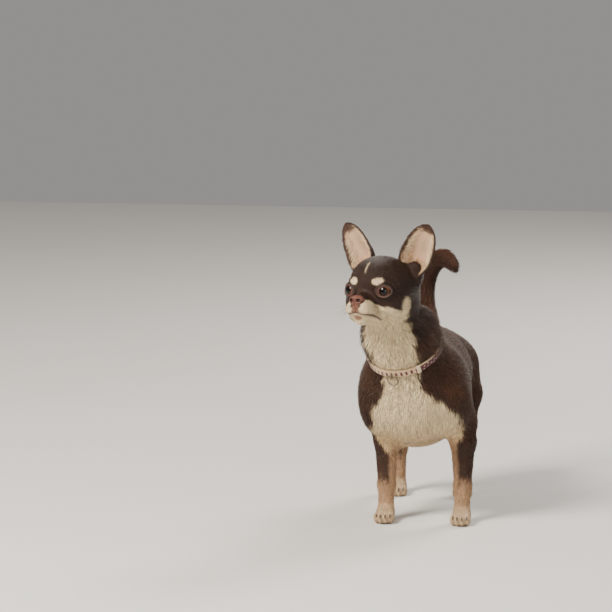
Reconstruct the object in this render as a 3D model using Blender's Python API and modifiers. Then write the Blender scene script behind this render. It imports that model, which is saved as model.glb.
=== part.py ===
"""A life-size standing chihuahua with a smooth coat, its head turned a little to its right and its tail
carried up in a sickle. It wears a narrow woven collar. Metres, +Z up; the dog faces -Y and its left is +X.
The body is modelled whole as rounded masses that melt together, then parted into its named pieces."""

import math

import bmesh
import bpy
import numpy as np
from mathutils import Matrix, Vector

# Driving sizes
WITHERS = 0.197
BACK_END = 0.184
CHEST_HALF = 0.059
LEG_HALF_SPAN = 0.0405
HIND_HALF_SPAN = 0.036
STANCE_SHIFT = 0.0092
HEAD_AT = np.array([-0.0283, -0.124, 0.2545])
HEAD_TURN = math.radians(-25.0)
HEAD_LIFT = math.radians(4.0)
HEAD_ROLL = math.radians(-2.5)
EYE_RADIUS = 0.0092
EYE_AT = np.array([0.0188, -0.0225, 0.0003])
EYE_OUTWARD = math.radians(20.0)
EYE_OPENING = (0.0070, 0.0055, 0.0049)
LID = 0.0013
EYE_SLANT = math.radians(-6.0)
EYE_EDGE = 16
EAR_INNER = np.array([0.0162, 0.0060, 0.0350])
EAR_OUTER = np.array([0.0430, 0.0120, 0.0150])
EAR_TIP = np.array([0.0503, 0.0095, 0.0676])
EAR_HALF_WIDTH = 0.0176
EAR_NARROW = 0.62
EAR_ROOT = 0.16
EAR_CURL = (88.0, 32.0)
EAR_LEAN = 0.0015
EAR_FORWARD = 0.0
EAR_THICKNESS = 0.0018
EAR_ROWS = (-0.16, -0.05, 0.06, 0.18, 0.32, 0.48, 0.63, 0.76, 0.87, 0.95, 1.0)
EAR_COLUMNS = 10
EAR_MARGIN = 0.015
NOSE_AT = np.array([0.0, -0.0467, -0.0086])
NOSE_SIZE = (0.0088, 0.0053, 0.0065)
NOSTRIL_AT = np.array([0.0042, -0.0517, -0.0080])
NOSTRIL_SIZE = (0.0019, 0.0030, 0.0017)
NOSTRIL_SLIT_OFFSET = np.array([0.0022, 0.0008, -0.0009])
NOSTRIL_SLIT_SIZE = (0.0024, 0.0022, 0.0007)
NOSTRIL_SLIT_TILT = math.radians(35.0)
MOUTH_FRONT = np.array([0.0, -0.0495, -0.0215])
MOUTH_CORNER = np.array([0.0170, -0.0290, -0.0270])
MOUTH_BOW = 0.0012
MOUTH_DEPTH = 0.0009
COLLAR_AT = np.array([-0.0075, -0.092, 0.1865])
COLLAR_UP = np.array([-0.20, -0.50, 0.84])
COLLAR_HEIGHT = 0.0072
COLLAR_THICKNESS = 0.0022
COLLAR_SINK = 0.0008
COLLAR_STEPS = 36
KEEPER_TURN = 22.0
KEEPER_SIZE = (0.0042, 0.0014, 0.0090)
RING_TURN = -22.0
RING_RADIUS = 0.0058
RING_WIRE = 0.0007
CLAW_LENGTH = 0.0058
CLAW_RADIUS = 0.0013
CLAW_SIDES = 6
CLAW_BEFORE_PAD = 0.0050
RIB_END = -0.012
LOIN_END = 0.062
ELBOW_HEIGHT = 0.086
WRIST_HEIGHT = 0.034
KNEE_HEIGHT = 0.090
HOCK_HEIGHT = 0.046
FORE_SOCKET = ((0.0210, 0.0280, 0.0230), (0.0210, 0.0340, 0.0200))
HIND_SOCKET = ((0.0275, 0.0400, 0.0350), (0.0210, 0.0420, 0.0200))
SOCKET_FOOT_HEIGHT = 0.006

# Fineness and the gap between neighbours
GAP = 0.0004
VOXEL = 0.0020
BODY_TRIANGLES = 5800
HEAD_FINENESS = 0.0003
SLOPE_STEP = 0.0002

CHOCOLATE = (0.035, 0.016, 0.010)
CREAM = (0.78, 0.62, 0.40)
NOSE_BROWN = (0.25, 0.10, 0.07)


def clear_scene():
    for obj in list(bpy.data.objects):
        bpy.data.objects.remove(obj, do_unlink=True)


def turned(about_x=0.0, about_y=0.0, about_z=0.0):
    """A rotation matrix: first about Y, then about X, then about Z."""
    turn = Matrix.Rotation(about_z, 3, "Z") @ Matrix.Rotation(about_x, 3, "X")
    return np.array(turn @ Matrix.Rotation(about_y, 3, "Y"))


HEAD_AXES = turned(-HEAD_LIFT, HEAD_ROLL, HEAD_TURN)


def from_head(point):
    """A point of the head's own frame, in the dog's frame."""
    return HEAD_AT + HEAD_AXES @ np.asarray(point, float)


def mirrored(point, side):
    return np.array([point[0] * side, point[1], point[2]])


def add_hull(mesh, ends):
    """The hull of two stretched balls, given as centres and radii."""
    balls = bmesh.new()
    for centre, radii in ends:
        place = Matrix.Translation(centre) @ Matrix.Diagonal((*radii, 1.0))
        bmesh.ops.create_uvsphere(balls, u_segments=18, v_segments=12, radius=1.0, matrix=place)
    loose = [mesh.verts.new(vert.co) for vert in balls.verts]
    balls.free()
    hull = bmesh.ops.convex_hull(mesh, input=loose)
    inside = [item for item in hull["geom_interior"] if isinstance(item, bmesh.types.BMVert)]
    bmesh.ops.delete(mesh, geom=inside, context="VERTS")


class Ball:
    """A stretched ball. Its distance is negative inside."""

    def __init__(self, centre, radii, axes=None):
        self.centre = np.asarray(centre, float)
        self.radii = np.asarray(radii, float)
        self.axes = np.eye(3) if axes is None else axes

    def distance(self, points):
        local = (points - self.centre) @ self.axes
        near = np.linalg.norm(local / self.radii, axis=1)
        slope = np.linalg.norm(local / self.radii**2, axis=1)
        return near * (near - 1.0) / np.maximum(slope, 1e-9)

    def add_to(self, mesh):
        made = bmesh.ops.create_uvsphere(mesh, u_segments=24, v_segments=14, radius=1.0)
        place = Matrix.Translation(self.centre) @ Matrix(self.axes).to_4x4()
        bmesh.ops.transform(mesh, matrix=place @ Matrix.Diagonal((*self.radii, 1.0)), verts=made["verts"])


class Limb:
    """A limb piece: the hull of a ball at each end."""

    def __init__(self, start, end, start_radius, end_radius):
        self.start, self.end = np.asarray(start, float), np.asarray(end, float)
        self.radii = (start_radius, end_radius)

    def distance(self, points):
        first, last = self.radii
        along = self.end - self.start
        length2 = along @ along
        slope = first - last
        rest = length2 - slope**2
        offset = points - self.start
        y = offset @ along
        z = y - length2
        x2 = ((offset * length2 - along * y[:, None]) ** 2).sum(1)
        y2, z2 = y**2 * length2, z**2 * length2
        side = math.copysign(1.0, slope) * slope**2 * x2
        middle = (np.sqrt(x2 * rest / length2) + y * slope) / length2 - first
        at_end = np.sqrt(x2 + z2) / length2 - last
        at_start = np.sqrt(x2 + y2) / length2 - first
        found = np.where(np.sign(y) * rest * y2 < side, at_start, middle)
        return np.where(np.sign(z) * rest * z2 > side, at_end, found)

    def add_to(self, mesh):
        ends = [(centre, (radius,) * 3) for centre, radius in zip((self.start, self.end), self.radii)]
        add_hull(mesh, ends)


def melted(first, second, reach):
    """The smooth union of two distances, which fills the crease between them over reach."""
    share = np.clip(0.5 + 0.5 * (second - first) / reach, 0.0, 1.0)
    return second * (1 - share) + first * share - reach * share * (1 - share)


def melt_all(forms, points, reach):
    found = forms[0].distance(points)
    for form in forms[1:]:
        found = melted(found, form.distance(points), reach)
    return found


def trunk_forms():
    """Rib cage, forechest, back, belly, rump and shoulders."""
    side = CHEST_HALF
    forms = [
        Ball((-0.002, -0.036, 0.136), (side - 0.002, 0.070, 0.0610)),
        Ball((-0.002, -0.088, 0.131), (0.041, 0.029, 0.038)),
        Limb((0.000, -0.056, WITHERS - 0.034), (0.001, 0.030, WITHERS - 0.036), 0.034, 0.032),
        Limb((0.001, 0.030, WITHERS - 0.036), (0.000, 0.084, BACK_END - 0.030), 0.032, 0.030),
        Ball((0.000, 0.026, 0.146), (side - 0.008, 0.064, 0.042)),
        Ball((0.000, 0.080, 0.146), (0.043, 0.036, 0.040)),
    ]
    shoulder_axes = turned(about_x=math.radians(-22))
    for hand in (1, -1):
        forms.append(Ball((-0.001 + 0.038 * hand, -0.066, 0.138), (0.0210, 0.029, 0.043), shoulder_axes))
    return forms


def neck_forms():
    """The neck, which leans to the dog's right, with the fuller coat at its sides."""
    skull_base = from_head((0.0, 0.016, -0.020))
    collar_mid = np.array([-0.0095, -0.096, 0.196])
    forms = [
        Limb((-0.001, -0.072, 0.160), collar_mid, 0.041, 0.0345),
        Limb(collar_mid, skull_base, 0.0345, 0.0295),
    ]
    for hand in (1, -1):
        ruff = np.array([-0.014 + 0.019 * hand, -0.090, 0.207])
        forms.append(Ball(ruff, (0.0185, 0.020, 0.027)))
    return forms


def lip_fold(hand):
    """The upper lip, which hangs a little over the lower one towards the corner of the mouth."""
    front, corner = mirrored((0.0085, -0.0370, -0.0205), hand), mirrored((0.0150, -0.0255, -0.0250), hand)
    return Limb(front, corner, 0.0060, 0.0072)


def head_forms():
    """The masses of the skull, cheeks, muzzle and jaw, in the head's frame."""
    skull = [
        Ball((0, 0.0085, 0.0030), (0.0350, 0.0335, 0.0305)),
        Ball((0, -0.0060, 0.0082), (0.0292, 0.0285, 0.0262)),
    ]
    face = [
        Limb((0, -0.0180, -0.0140), (0, -0.0395, -0.0150), 0.0155, 0.0104),
        Limb((0, -0.0260, -0.0078), (0, -0.0428, -0.0092), 0.0076, 0.0061),
        Limb((0, -0.0060, -0.0230), (0, -0.0385, -0.0275), 0.0125, 0.0074),
        Ball((0, -0.0440, -0.0098), (0.0084, 0.0051, 0.0062)),
    ]
    for hand in (1, -1):
        skull += [
            Ball(mirrored((0.0205, -0.0060, -0.0125), hand), (0.0150, 0.0200, 0.0165)),
            Ball(mirrored((0.0215, 0.0090, -0.0120), hand), (0.0140, 0.0190, 0.0185)),
        ]
        face += [
            Ball(mirrored(EYE_AT, hand), (EYE_RADIUS + LID,) * 3),
            Ball(mirrored((0.0280, 0.0175, 0.0165), hand), (0.0105, 0.0085, 0.0130)),
            Ball(mirrored((0.0140, -0.0250, 0.0075), hand), (0.0085, 0.0062, 0.0050)),
            Ball(mirrored((0.0066, -0.0405, -0.0175), hand), (0.0082, 0.0105, 0.0080)),
            lip_fold(hand),
        ]
    return skull, face


def leg_chain(points, radii):
    return [Limb(a, b, ra, rb) for a, b, ra, rb in zip(points, points[1:], radii, radii[1:])]


def rounded_course(values, steps):
    """The values along a smooth curve that passes through each of them."""
    values = np.array(values, float)
    ends = np.concatenate([2 * values[:1] - values[1:2], values, 2 * values[-1:] - values[-2:-1]])
    found = []
    for a, b, c, d in zip(ends, ends[1:], ends[2:], ends[3:]):
        for share in np.arange(steps) / steps:
            bend = 2 * a - 5 * b + 4 * c - d
            turn = 3 * b - a - 3 * c + d
            found.append(b + 0.5 * share * (c - a + share * (bend + share * turn)))
    return found + [values[-1]]


def foreleg_points(hand):
    """Shoulder, elbow, top of the forearm's muscle, wrist, knuckles."""
    x = STANCE_SHIFT + LEG_HALF_SPAN * hand
    return [
        np.array([x - 0.006 - 0.006 * hand, -0.080, 0.134]),
        np.array([x - 0.002, -0.050, 0.106]),
        np.array([x, -0.054, 0.086]),
        np.array([x, -0.056, 0.038]),
        np.array([x, -0.060, 0.016]),
    ]


def hindleg_points(hand):
    """Hip, thigh, knee, calf, hock, knuckles."""
    x = HIND_HALF_SPAN * hand
    return [
        np.array([x - 0.013 * hand, 0.074, 0.146]),
        np.array([x - 0.002 * hand, 0.060, 0.118]),
        np.array([x + 0.001 * hand, 0.046, 0.098]),
        np.array([x, 0.064, 0.078]),
        np.array([x, 0.094, 0.050]),
        np.array([x, 0.088, 0.016]),
    ]


PAW_SIZES = {"fore": (0.0112, 0.0150, 0.0092), "hind": (0.0100, 0.0140, 0.0085)}
TOE_SPREAD = (-0.0072, -0.0025, 0.0025, 0.0072)
TOE_REACH = (0.0110, 0.0145, 0.0145, 0.0110)


def paw_forms(heel, kind):
    """The pad of the foot and its four toes, in front of the leg's knuckles."""
    wide, long, high = PAW_SIZES[kind]
    centre = np.array([heel[0], heel[1] - 0.006, high - 0.0010])
    forms = [Ball(centre, (wide * 0.92, long, high))]
    for across, reach in zip(TOE_SPREAD, TOE_REACH):
        toe = centre + np.array([across, -reach, -0.0022])
        forms.append(Ball(toe, (0.0038, 0.0075, 0.0062)))
    return forms


def leg_forms(hand, kind):
    if kind == "fore":
        points = foreleg_points(hand)
        radii = (0.0190, 0.0160, 0.0137, 0.0094, 0.0086)
    else:
        points = hindleg_points(hand)
        radii = (0.0300, 0.0235, 0.0165, 0.0135, 0.0080, 0.0074)
    return leg_chain(points, radii), paw_forms(points[-1], kind)


TAIL_POINTS = [
    np.array(point)
    for point in (
        (-0.001, 0.092, 0.166),
        (-0.006, 0.112, 0.187),
        (-0.011, 0.122, 0.208),
        (-0.011, 0.124, 0.2265),
        (-0.007, 0.119, 0.2430),
        (0.001, 0.109, 0.256),
        (0.011, 0.099, 0.261),
        (0.020, 0.090, 0.2565),
        (0.024, 0.086, 0.2515),
    )
]
TAIL_RADII = (0.0130, 0.0108, 0.0098, 0.0094, 0.0096, 0.0100, 0.0096, 0.0070, 0.0036)
TAIL_STEPS = 3


class Body:
    """All the masses of the dog but the ears, and the distance to their melted surface."""

    def __init__(self):
        self.trunk = trunk_forms()
        self.neck = neck_forms()
        skull, face = head_forms()
        self.skull, self.face = skull, face
        self.legs = [leg_forms(hand, kind) for kind in ("fore", "hind") for hand in (1, -1)]
        tail_radii = rounded_course(TAIL_RADII, TAIL_STEPS)
        self.tail = leg_chain(rounded_course(TAIL_POINTS, TAIL_STEPS), tail_radii)

    def head_distance(self, points):
        local = (points - HEAD_AT) @ HEAD_AXES
        skull = melt_all(self.skull, local, 0.010)
        return melted(skull, melt_all(self.face, local, 0.0045), 0.006)

    def distance(self, points):
        found = melt_all(self.trunk, points, 0.018)
        found = melted(found, melt_all(self.neck, points, 0.012), 0.018)
        for leg, paw in self.legs:
            whole = melted(melt_all(leg, points, 0.006), melt_all(paw, points, 0.0022), 0.005)
            found = melted(found, whole, 0.012)
        found = melted(found, self.head_distance(points), 0.008)
        return melted(found, melt_all(self.tail, points, 0.006), 0.008)

    def rough_mesh(self):
        """The masses as closed meshes that still cross each other."""
        mesh = bmesh.new()
        for form in self.trunk + self.neck + self.tail:
            form.add_to(mesh)
        for leg, paw in self.legs:
            for form in leg + paw:
                form.add_to(mesh)
        head = bmesh.new()
        for form in self.skull + self.face:
            form.add_to(head)
        place = Matrix.Translation(HEAD_AT) @ Matrix(HEAD_AXES).to_4x4()
        bmesh.ops.transform(head, matrix=place, verts=head.verts[:])
        spare = bpy.data.meshes.new("head masses")
        head.to_mesh(spare)
        head.free()
        mesh.from_mesh(spare)
        bpy.data.meshes.remove(spare)
        return mesh


def drawn_to(distance, points, rounds=3, most=0.002):
    """Points moved along the slope of a distance until it is zero."""
    step = SLOPE_STEP
    for _ in range(rounds):
        value = distance(points)
        slope = np.stack([distance(points + step * axis) - value for axis in np.eye(3)], 1) / step
        move = value[:, None] * slope / np.maximum((slope**2).sum(1), 0.05)[:, None]
        length = np.maximum(np.linalg.norm(move, axis=1), 1e-12)[:, None]
        points = points - move * np.minimum(1.0, most / length)
    return points


def coordinates(mesh):
    found = np.empty(len(mesh.vertices) * 3)
    mesh.vertices.foreach_get("co", found)
    return found.reshape(-1, 3)


def new_object(name, mesh, collection):
    """An object of a Blender mesh, or of a bmesh, which it uses up."""
    if isinstance(mesh, bmesh.types.BMesh):
        bmesh.ops.recalc_face_normals(mesh, faces=mesh.faces[:])
        data = bpy.data.meshes.new(name)
        mesh.to_mesh(data)
        mesh.free()
        mesh = data
    obj = bpy.data.objects.new(name, mesh)
    collection.objects.link(obj)
    return obj


def settle(obj):
    """The object's modifiers become its mesh."""
    graph = bpy.context.evaluated_depsgraph_get()
    mesh = bpy.data.meshes.new_from_object(obj.evaluated_get(graph))
    obj.modifiers.clear()
    obj.data = mesh
    return obj


def parted(obj, cutter):
    """What is left of the object outside the cutter."""
    modifier = obj.modifiers.new("Part", "BOOLEAN")
    modifier.operation = "DIFFERENCE"
    modifier.solver = "EXACT"
    modifier.object = cutter
    return settle(obj)


def closed_surfaces(mesh):
    """The sets of joined vertices in a mesh, the largest first."""
    left = set(mesh.verts)
    islands = []
    while left:
        queue = [left.pop()]
        island = set(queue)
        while queue:
            for edge in queue.pop().link_edges:
                for vert in edge.verts:
                    if vert in left:
                        left.discard(vert)
                        island.add(vert)
                        queue.append(vert)
        islands.append(island)
    islands.sort(key=len, reverse=True)
    return islands


def keep_largest(obj):
    """Only the largest closed surface of the object stays."""
    mesh = bmesh.new()
    mesh.from_mesh(obj.data)
    for island in closed_surfaces(mesh)[1:]:
        bmesh.ops.delete(mesh, geom=list(island), context="VERTS")
    mesh.to_mesh(obj.data)
    mesh.free()
    return obj


def smooth_body(body, collection):
    """The whole body as one mesh, drawn onto the melted surface."""
    obj = new_object("whole", body.rough_mesh(), collection)
    remesh = obj.modifiers.new("Remesh", "REMESH")
    remesh.mode = "VOXEL"
    remesh.voxel_size = VOXEL
    settle(obj)
    for _ in range(2):
        smooth = obj.modifiers.new("Smooth", "SMOOTH")
        smooth.iterations = 3
        settle(obj)
        points = drawn_to(body.distance, coordinates(obj.data))
        obj.data.vertices.foreach_set("co", points.ravel())
    return obj


def thinned(obj):
    """Fewer triangles, more of them kept on the head than on the trunk."""
    points = coordinates(obj.data)
    from_face = np.linalg.norm(points - from_head((0, -0.02, -0.004)), axis=1)
    fine = np.clip((0.062 - from_face) / 0.02, 0, 1)
    group = obj.vertex_groups.new(name="plain")
    for index, share in enumerate(1 - 0.9 * fine):
        group.add([index], float(share), "REPLACE")
    decimate = obj.modifiers.new("Decimate", "DECIMATE")
    decimate.ratio = BODY_TRIANGLES / (2 * len(obj.data.polygons))
    decimate.vertex_group = "plain"
    decimate.vertex_group_factor = HEAD_FINENESS
    decimate.use_collapse_triangulate = True
    settle(obj)
    obj.vertex_groups.clear()
    return obj


def material(name, colour, roughness, metallic=0.0):
    found = bpy.data.materials.new(name)
    found.use_nodes = True
    shader = found.node_tree.nodes["Principled BSDF"]
    shader.inputs["Base Color"].default_value = (*colour, 1.0)
    shader.inputs["Roughness"].default_value = roughness
    shader.inputs["Metallic"].default_value = metallic
    found.diffuse_color = (*colour, 1.0)
    return found


def slab(name, point, normal, size, collection):
    """A thin square plate across a point, which parts what it crosses."""
    mesh = bmesh.new()
    bmesh.ops.create_cube(mesh, size=1.0)
    bmesh.ops.scale(mesh, vec=(size, size, GAP), verts=mesh.verts)
    turn = Vector(normal).to_track_quat("Z", "X").to_matrix().to_4x4()
    bmesh.ops.transform(mesh, matrix=Matrix.Translation(point) @ turn, verts=mesh.verts)
    return new_object(name, mesh, collection)


def leg_socket(name, top, foot, radii, collection):
    """A thin closed shell around one leg, which parts it from the trunk."""
    mesh = bmesh.new()
    add_hull(mesh, ((top, radii[0]), (foot, radii[1])))
    obj = new_object(name, mesh, collection)
    solidify = obj.modifiers.new("Solidify", "SOLIDIFY")
    solidify.thickness = GAP
    solidify.offset = 1.0
    return settle(obj)


def islands_of(obj, labels, collection):
    """The closed pieces of a mesh as objects, each named for the nearest label point."""
    mesh = bmesh.new()
    mesh.from_mesh(obj.data)
    made = {}
    for island in closed_surfaces(mesh)[: len(labels)]:
        middle = np.mean([vert.co for vert in island], axis=0)
        free = [name for name in labels if name not in made]
        name = min(free, key=lambda label: np.linalg.norm(middle - labels[label]))
        piece = mesh.copy()
        keep = {vert.index for vert in island}
        spare = [vert for vert in piece.verts if vert.index not in keep]
        bmesh.ops.delete(piece, geom=spare, context="VERTS")
        made[name] = new_object(name, piece, collection)
    mesh.free()
    bpy.data.objects.remove(obj, do_unlink=True)
    return made


def free_legs(whole, cutters):
    """The four legs parted from the trunk at shoulder and hip."""
    for hand, side in ((1, "left"), (-1, "right")):
        fore, hind = foreleg_points(hand), hindleg_points(hand)
        top = (fore[1][0] + 0.004 * hand, -0.056, 0.112)
        foot = (fore[4][0], -0.066, SOCKET_FOOT_HEIGHT)
        parted(whole, leg_socket("fore_socket_" + side, top, foot, FORE_SOCKET, cutters))
        top = (hind[0][0] + 0.017 * hand, 0.064, 0.120)
        foot = (hind[5][0], 0.082, SOCKET_FOOT_HEIGHT)
        parted(whole, leg_socket("hind_socket_" + side, top, foot, HIND_SOCKET, cutters))


def part_trunk(trunk, parts, cutters):
    """Chest, belly and rump."""
    for name, y in (("chest_cut", RIB_END), ("rump_cut", LOIN_END)):
        parted(trunk, slab(name, (0, y, 0.14), (0, 1, 0.12), 0.200, cutters))
    ends = {"chest": (0, -0.05, 0.14), "belly": (0, 0.025, 0.14), "rump": (0, 0.09, 0.15)}
    return islands_of(trunk, ends, parts)


def part_tail(tail, parts, cutters):
    """The tail's root, its middle and its curled tip."""
    for name, index in (("tail_low_cut", 3), ("tail_high_cut", 5)):
        way = TAIL_POINTS[index + 1] - TAIL_POINTS[index - 1]
        parted(tail, slab(name, TAIL_POINTS[index], way, 0.040, cutters))
    ends = {"tail_base": TAIL_POINTS[1], "tail_middle": TAIL_POINTS[4], "tail_tip": TAIL_POINTS[7]}
    return islands_of(tail, ends, parts)


def part_leg(leg, cuts, names, middles, size, parts, cutters):
    """One leg parted across at two joints into its three lengths."""
    for number, (point, way) in enumerate(cuts):
        parted(leg, slab(f"{names[number]}_cut", point, way, size, cutters))
    return islands_of(leg, dict(zip(names, middles)), parts)


def part_legs(pieces, parts, cutters):
    for hand, side in ((1, "left"), (-1, "right")):
        x = foreleg_points(hand)[3][0]
        cuts = [((x, -0.055, ELBOW_HEIGHT), (0, 0.2, 1)), ((x, -0.055, WRIST_HEIGHT), (0, 0, 1))]
        names = [part + side for part in ("upper_foreleg_", "forearm_", "forepaw_")]
        middles = [(x, -0.055, 0.11), (x, -0.055, 0.06), (x, -0.065, 0.015)]
        leg = pieces.pop("foreleg_" + side)
        pieces.update(part_leg(leg, cuts, names, middles, 0.070, parts, cutters))
        x = hindleg_points(hand)[4][0]
        cuts = [((x, 0.055, KNEE_HEIGHT), (0, 0.45, 1)), ((x, 0.093, HOCK_HEIGHT), (0, -0.1, 1))]
        names = [part + side for part in ("thigh_", "shank_", "hindpaw_")]
        middles = [(x, 0.065, 0.12), (x, 0.075, 0.07), (x, 0.085, 0.02)]
        leg = pieces.pop("hindleg_" + side)
        pieces.update(part_leg(leg, cuts, names, middles, 0.090, parts, cutters))


def part_body(whole, parts, cutters):
    """The whole body parted into head, neck, trunk, tail and the lengths of each leg."""
    free_legs(whole, cutters)
    parted(whole, slab("neck_cut", COLLAR_AT, COLLAR_UP, 0.100, cutters))
    throat, nape = from_head((0, -0.016, -0.036)), from_head((0, 0.038, 0.000))
    across = HEAD_AXES @ np.array([0.0, 0.55, -0.84])
    parted(whole, slab("head_cut", (throat + nape) / 2, across, 0.110, cutters))
    tail_way = TAIL_POINTS[1] - TAIL_POINTS[0]
    tail_root = TAIL_POINTS[0] * 0.3 + TAIL_POINTS[1] * 0.7
    parted(whole, slab("tail_cut", tail_root, tail_way, 0.046, cutters))
    labels = {
        "trunk": (0, 0, 0.14),
        "neck": (-0.012, -0.096, 0.205),
        "head": HEAD_AT,
        "tail": TAIL_POINTS[4],
        "foreleg_left": (0.05, -0.055, 0.06),
        "foreleg_right": (-0.031, -0.055, 0.06),
        "hindleg_left": (HIND_HALF_SPAN, 0.075, 0.07),
        "hindleg_right": (-HIND_HALF_SPAN, 0.075, 0.07),
    }
    pieces = islands_of(whole, labels, parts)
    pieces.update(part_trunk(pieces.pop("trunk"), parts, cutters))
    pieces.update(part_tail(pieces.pop("tail"), parts, cutters))
    part_legs(pieces, parts, cutters)
    return pieces


def head_place():
    return Matrix.Translation(HEAD_AT) @ Matrix(HEAD_AXES).to_4x4()


def ball_mesh(centre, radii, segments=20, rings=12, axes=None):
    mesh = bmesh.new()
    made = bmesh.ops.create_uvsphere(mesh, u_segments=segments, v_segments=rings, radius=1.0)
    axes = np.eye(3) if axes is None else axes
    place = Matrix.Translation(centre) @ Matrix(axes).to_4x4() @ Matrix.Diagonal((*radii, 1.0))
    bmesh.ops.transform(mesh, matrix=place, verts=made["verts"])
    return mesh


def head_object(name, mesh, collection):
    bmesh.ops.transform(mesh, matrix=head_place(), verts=mesh.verts)
    return new_object(name, mesh, collection)


def eye_axes(hand):
    """Columns: the eye's own X, outward and up, in the head's frame."""
    return turned(about_z=EYE_OUTWARD * hand)


def eye_opening(hand, collection, name):
    """The almond opening between the lids, as a flared prism along the eye's axis."""
    wide, high, low = EYE_OPENING
    mesh = bmesh.new()
    rings = []
    for depth, flare in ((0.002, 1.0), (0.0165, 1.16)):
        ring = []
        for turn in np.linspace(0, 2 * math.pi, EYE_EDGE, endpoint=False):
            lift = (high if math.sin(turn) > 0 else low) * math.sin(turn)
            point = np.array([wide * math.cos(turn) * flare, -depth, lift * flare])
            tilt = turned(about_y=EYE_SLANT * hand)
            ring.append(mesh.verts.new(mirrored(EYE_AT, hand) + eye_axes(hand) @ tilt @ point))
        rings.append(ring)
    edges = [mesh.edges.new((r[i - 1], r[i])) for r in rings for i in range(EYE_EDGE)]
    bmesh.ops.bridge_loops(mesh, edges=edges)
    for ring in rings:
        mesh.faces.new(ring)
    return head_object(name, mesh, collection)


def ear_frame(hand):
    """The ear's root, its rise, its width and the way it faces, in the head's frame."""
    inner, outer, tip = (mirrored(p, hand) for p in (EAR_INNER, EAR_OUTER, EAR_TIP))
    root = (inner + outer) / 2
    rise = tip - root
    across = (outer - inner) * hand
    rise_way = rise / np.linalg.norm(rise)
    across = across - rise_way * (across @ rise_way)
    across_way = across / np.linalg.norm(across)
    facing = np.cross(across_way, rise_way)
    return root, rise, across_way, -facing if facing[1] > 0 else facing


def ear_point(hand, share, around):
    """A point on the ear's middle surface: share from the root to the tip, around from edge to edge."""
    root, rise, across, facing = ear_frame(hand)
    edge = max(0.0, 1 - max(0.0, share) ** 2.9) ** 0.54
    low = min(1.0, max(0.0, (share + EAR_ROOT) / 0.42))
    half = EAR_HALF_WIDTH * edge * (EAR_NARROW + (1 - EAR_NARROW) * math.sin(low * math.pi / 2))
    half = max(half, 0.0012)
    bend = math.radians(EAR_CURL[0] + (EAR_CURL[1] - EAR_CURL[0]) * min(1.0, max(0.0, share)) ** 0.8)
    radius = half / math.sin(min(bend, math.pi / 2))
    turn = bend * around
    sideways = radius * math.sin(turn)
    backward = radius * (math.cos(turn) - math.cos(bend))
    lean = EAR_LEAN * math.sin(math.pi * min(1.0, max(0.0, share)))
    return root + rise * share + across * sideways - facing * (backward - EAR_FORWARD) - facing * lean


def ear_mesh(hand, margin):
    """The cupped ear, from a little under the skin of the skull to its rounded tip, as a sheet."""
    mesh = bmesh.new()
    rows = (EAR_ROWS[0] - margin,) + EAR_ROWS[1:]
    columns = np.linspace(-1, 1, EAR_COLUMNS) * (1 + 2 * margin)
    grid = [[mesh.verts.new(ear_point(hand, share, around)) for around in columns] for share in rows]
    for low, high in zip(grid, grid[1:]):
        for i in range(EAR_COLUMNS - 1):
            mesh.faces.new((low[i], low[i + 1], high[i + 1]))
            mesh.faces.new((low[i], high[i + 1], high[i]))
    if hand < 0:
        bmesh.ops.reverse_faces(mesh, faces=mesh.faces[:])
    bmesh.ops.transform(mesh, matrix=head_place(), verts=mesh.verts)
    data = bpy.data.meshes.new("ear")
    mesh.to_mesh(data)
    mesh.free()
    return data


def thick_ear(name, hand, thickness, margin, collection):
    obj = new_object(name, ear_mesh(hand, margin), collection)
    solidify = obj.modifiers.new("Solidify", "SOLIDIFY")
    solidify.thickness = thickness
    solidify.offset = 0.0
    solidify.use_even_offset = False
    return settle(obj)


def tube(name, points, radius, collection, cyclic=False, sides=1):
    """A round wire along points, as a closed mesh."""
    curve = bpy.data.curves.new(name, "CURVE")
    curve.dimensions = "3D"
    curve.bevel_depth = radius
    curve.bevel_resolution = sides
    curve.use_fill_caps = not cyclic
    spline = curve.splines.new("POLY")
    spline.points.add(len(points) - 1)
    for point, place in zip(spline.points, points):
        point.co = (*place, 1.0)
    spline.use_cyclic_u = cyclic
    obj = bpy.data.objects.new(name, curve)
    collection.objects.link(obj)
    graph = bpy.context.evaluated_depsgraph_get()
    data = bpy.data.meshes.new_from_object(obj.evaluated_get(graph))
    bpy.data.objects.remove(obj, do_unlink=True)
    mesh = bmesh.new()
    mesh.from_mesh(data)
    bmesh.ops.remove_doubles(mesh, verts=mesh.verts, dist=0.00001)
    return new_object(name, mesh, collection)


def mouth_line(body, collection):
    """The line where the lips meet, sunk into the surface of the muzzle."""
    points = []
    for share in np.linspace(-1, 1, 25):
        hand, far = (1 if share > 0 else -1), abs(share)
        front, corner = MOUTH_FRONT, mirrored(MOUTH_CORNER, hand)
        turn = far * math.pi / 2
        x = corner[0] * math.sin(turn) ** 1.1 if share else 0.0
        y = front[1] + (corner[1] - front[1]) * (1 - math.cos(turn)) ** 1.15
        z = front[2] + (corner[2] - front[2]) * far**1.3 + MOUTH_BOW * math.sin(math.pi * far)
        points.append((x, y, z))
    placed = np.array([from_head(point) for point in points])
    placed = drawn_to(body.distance, placed, rounds=8)
    return tube("mouth_line", placed, MOUTH_DEPTH, collection)


def nose_pad(name, grow, collection):
    """The rounded bare pad of the nose."""
    radii = tuple(size + grow for size in NOSE_SIZE)
    return head_object(name, ball_mesh(NOSE_AT, radii, 20, 12), collection)


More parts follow.
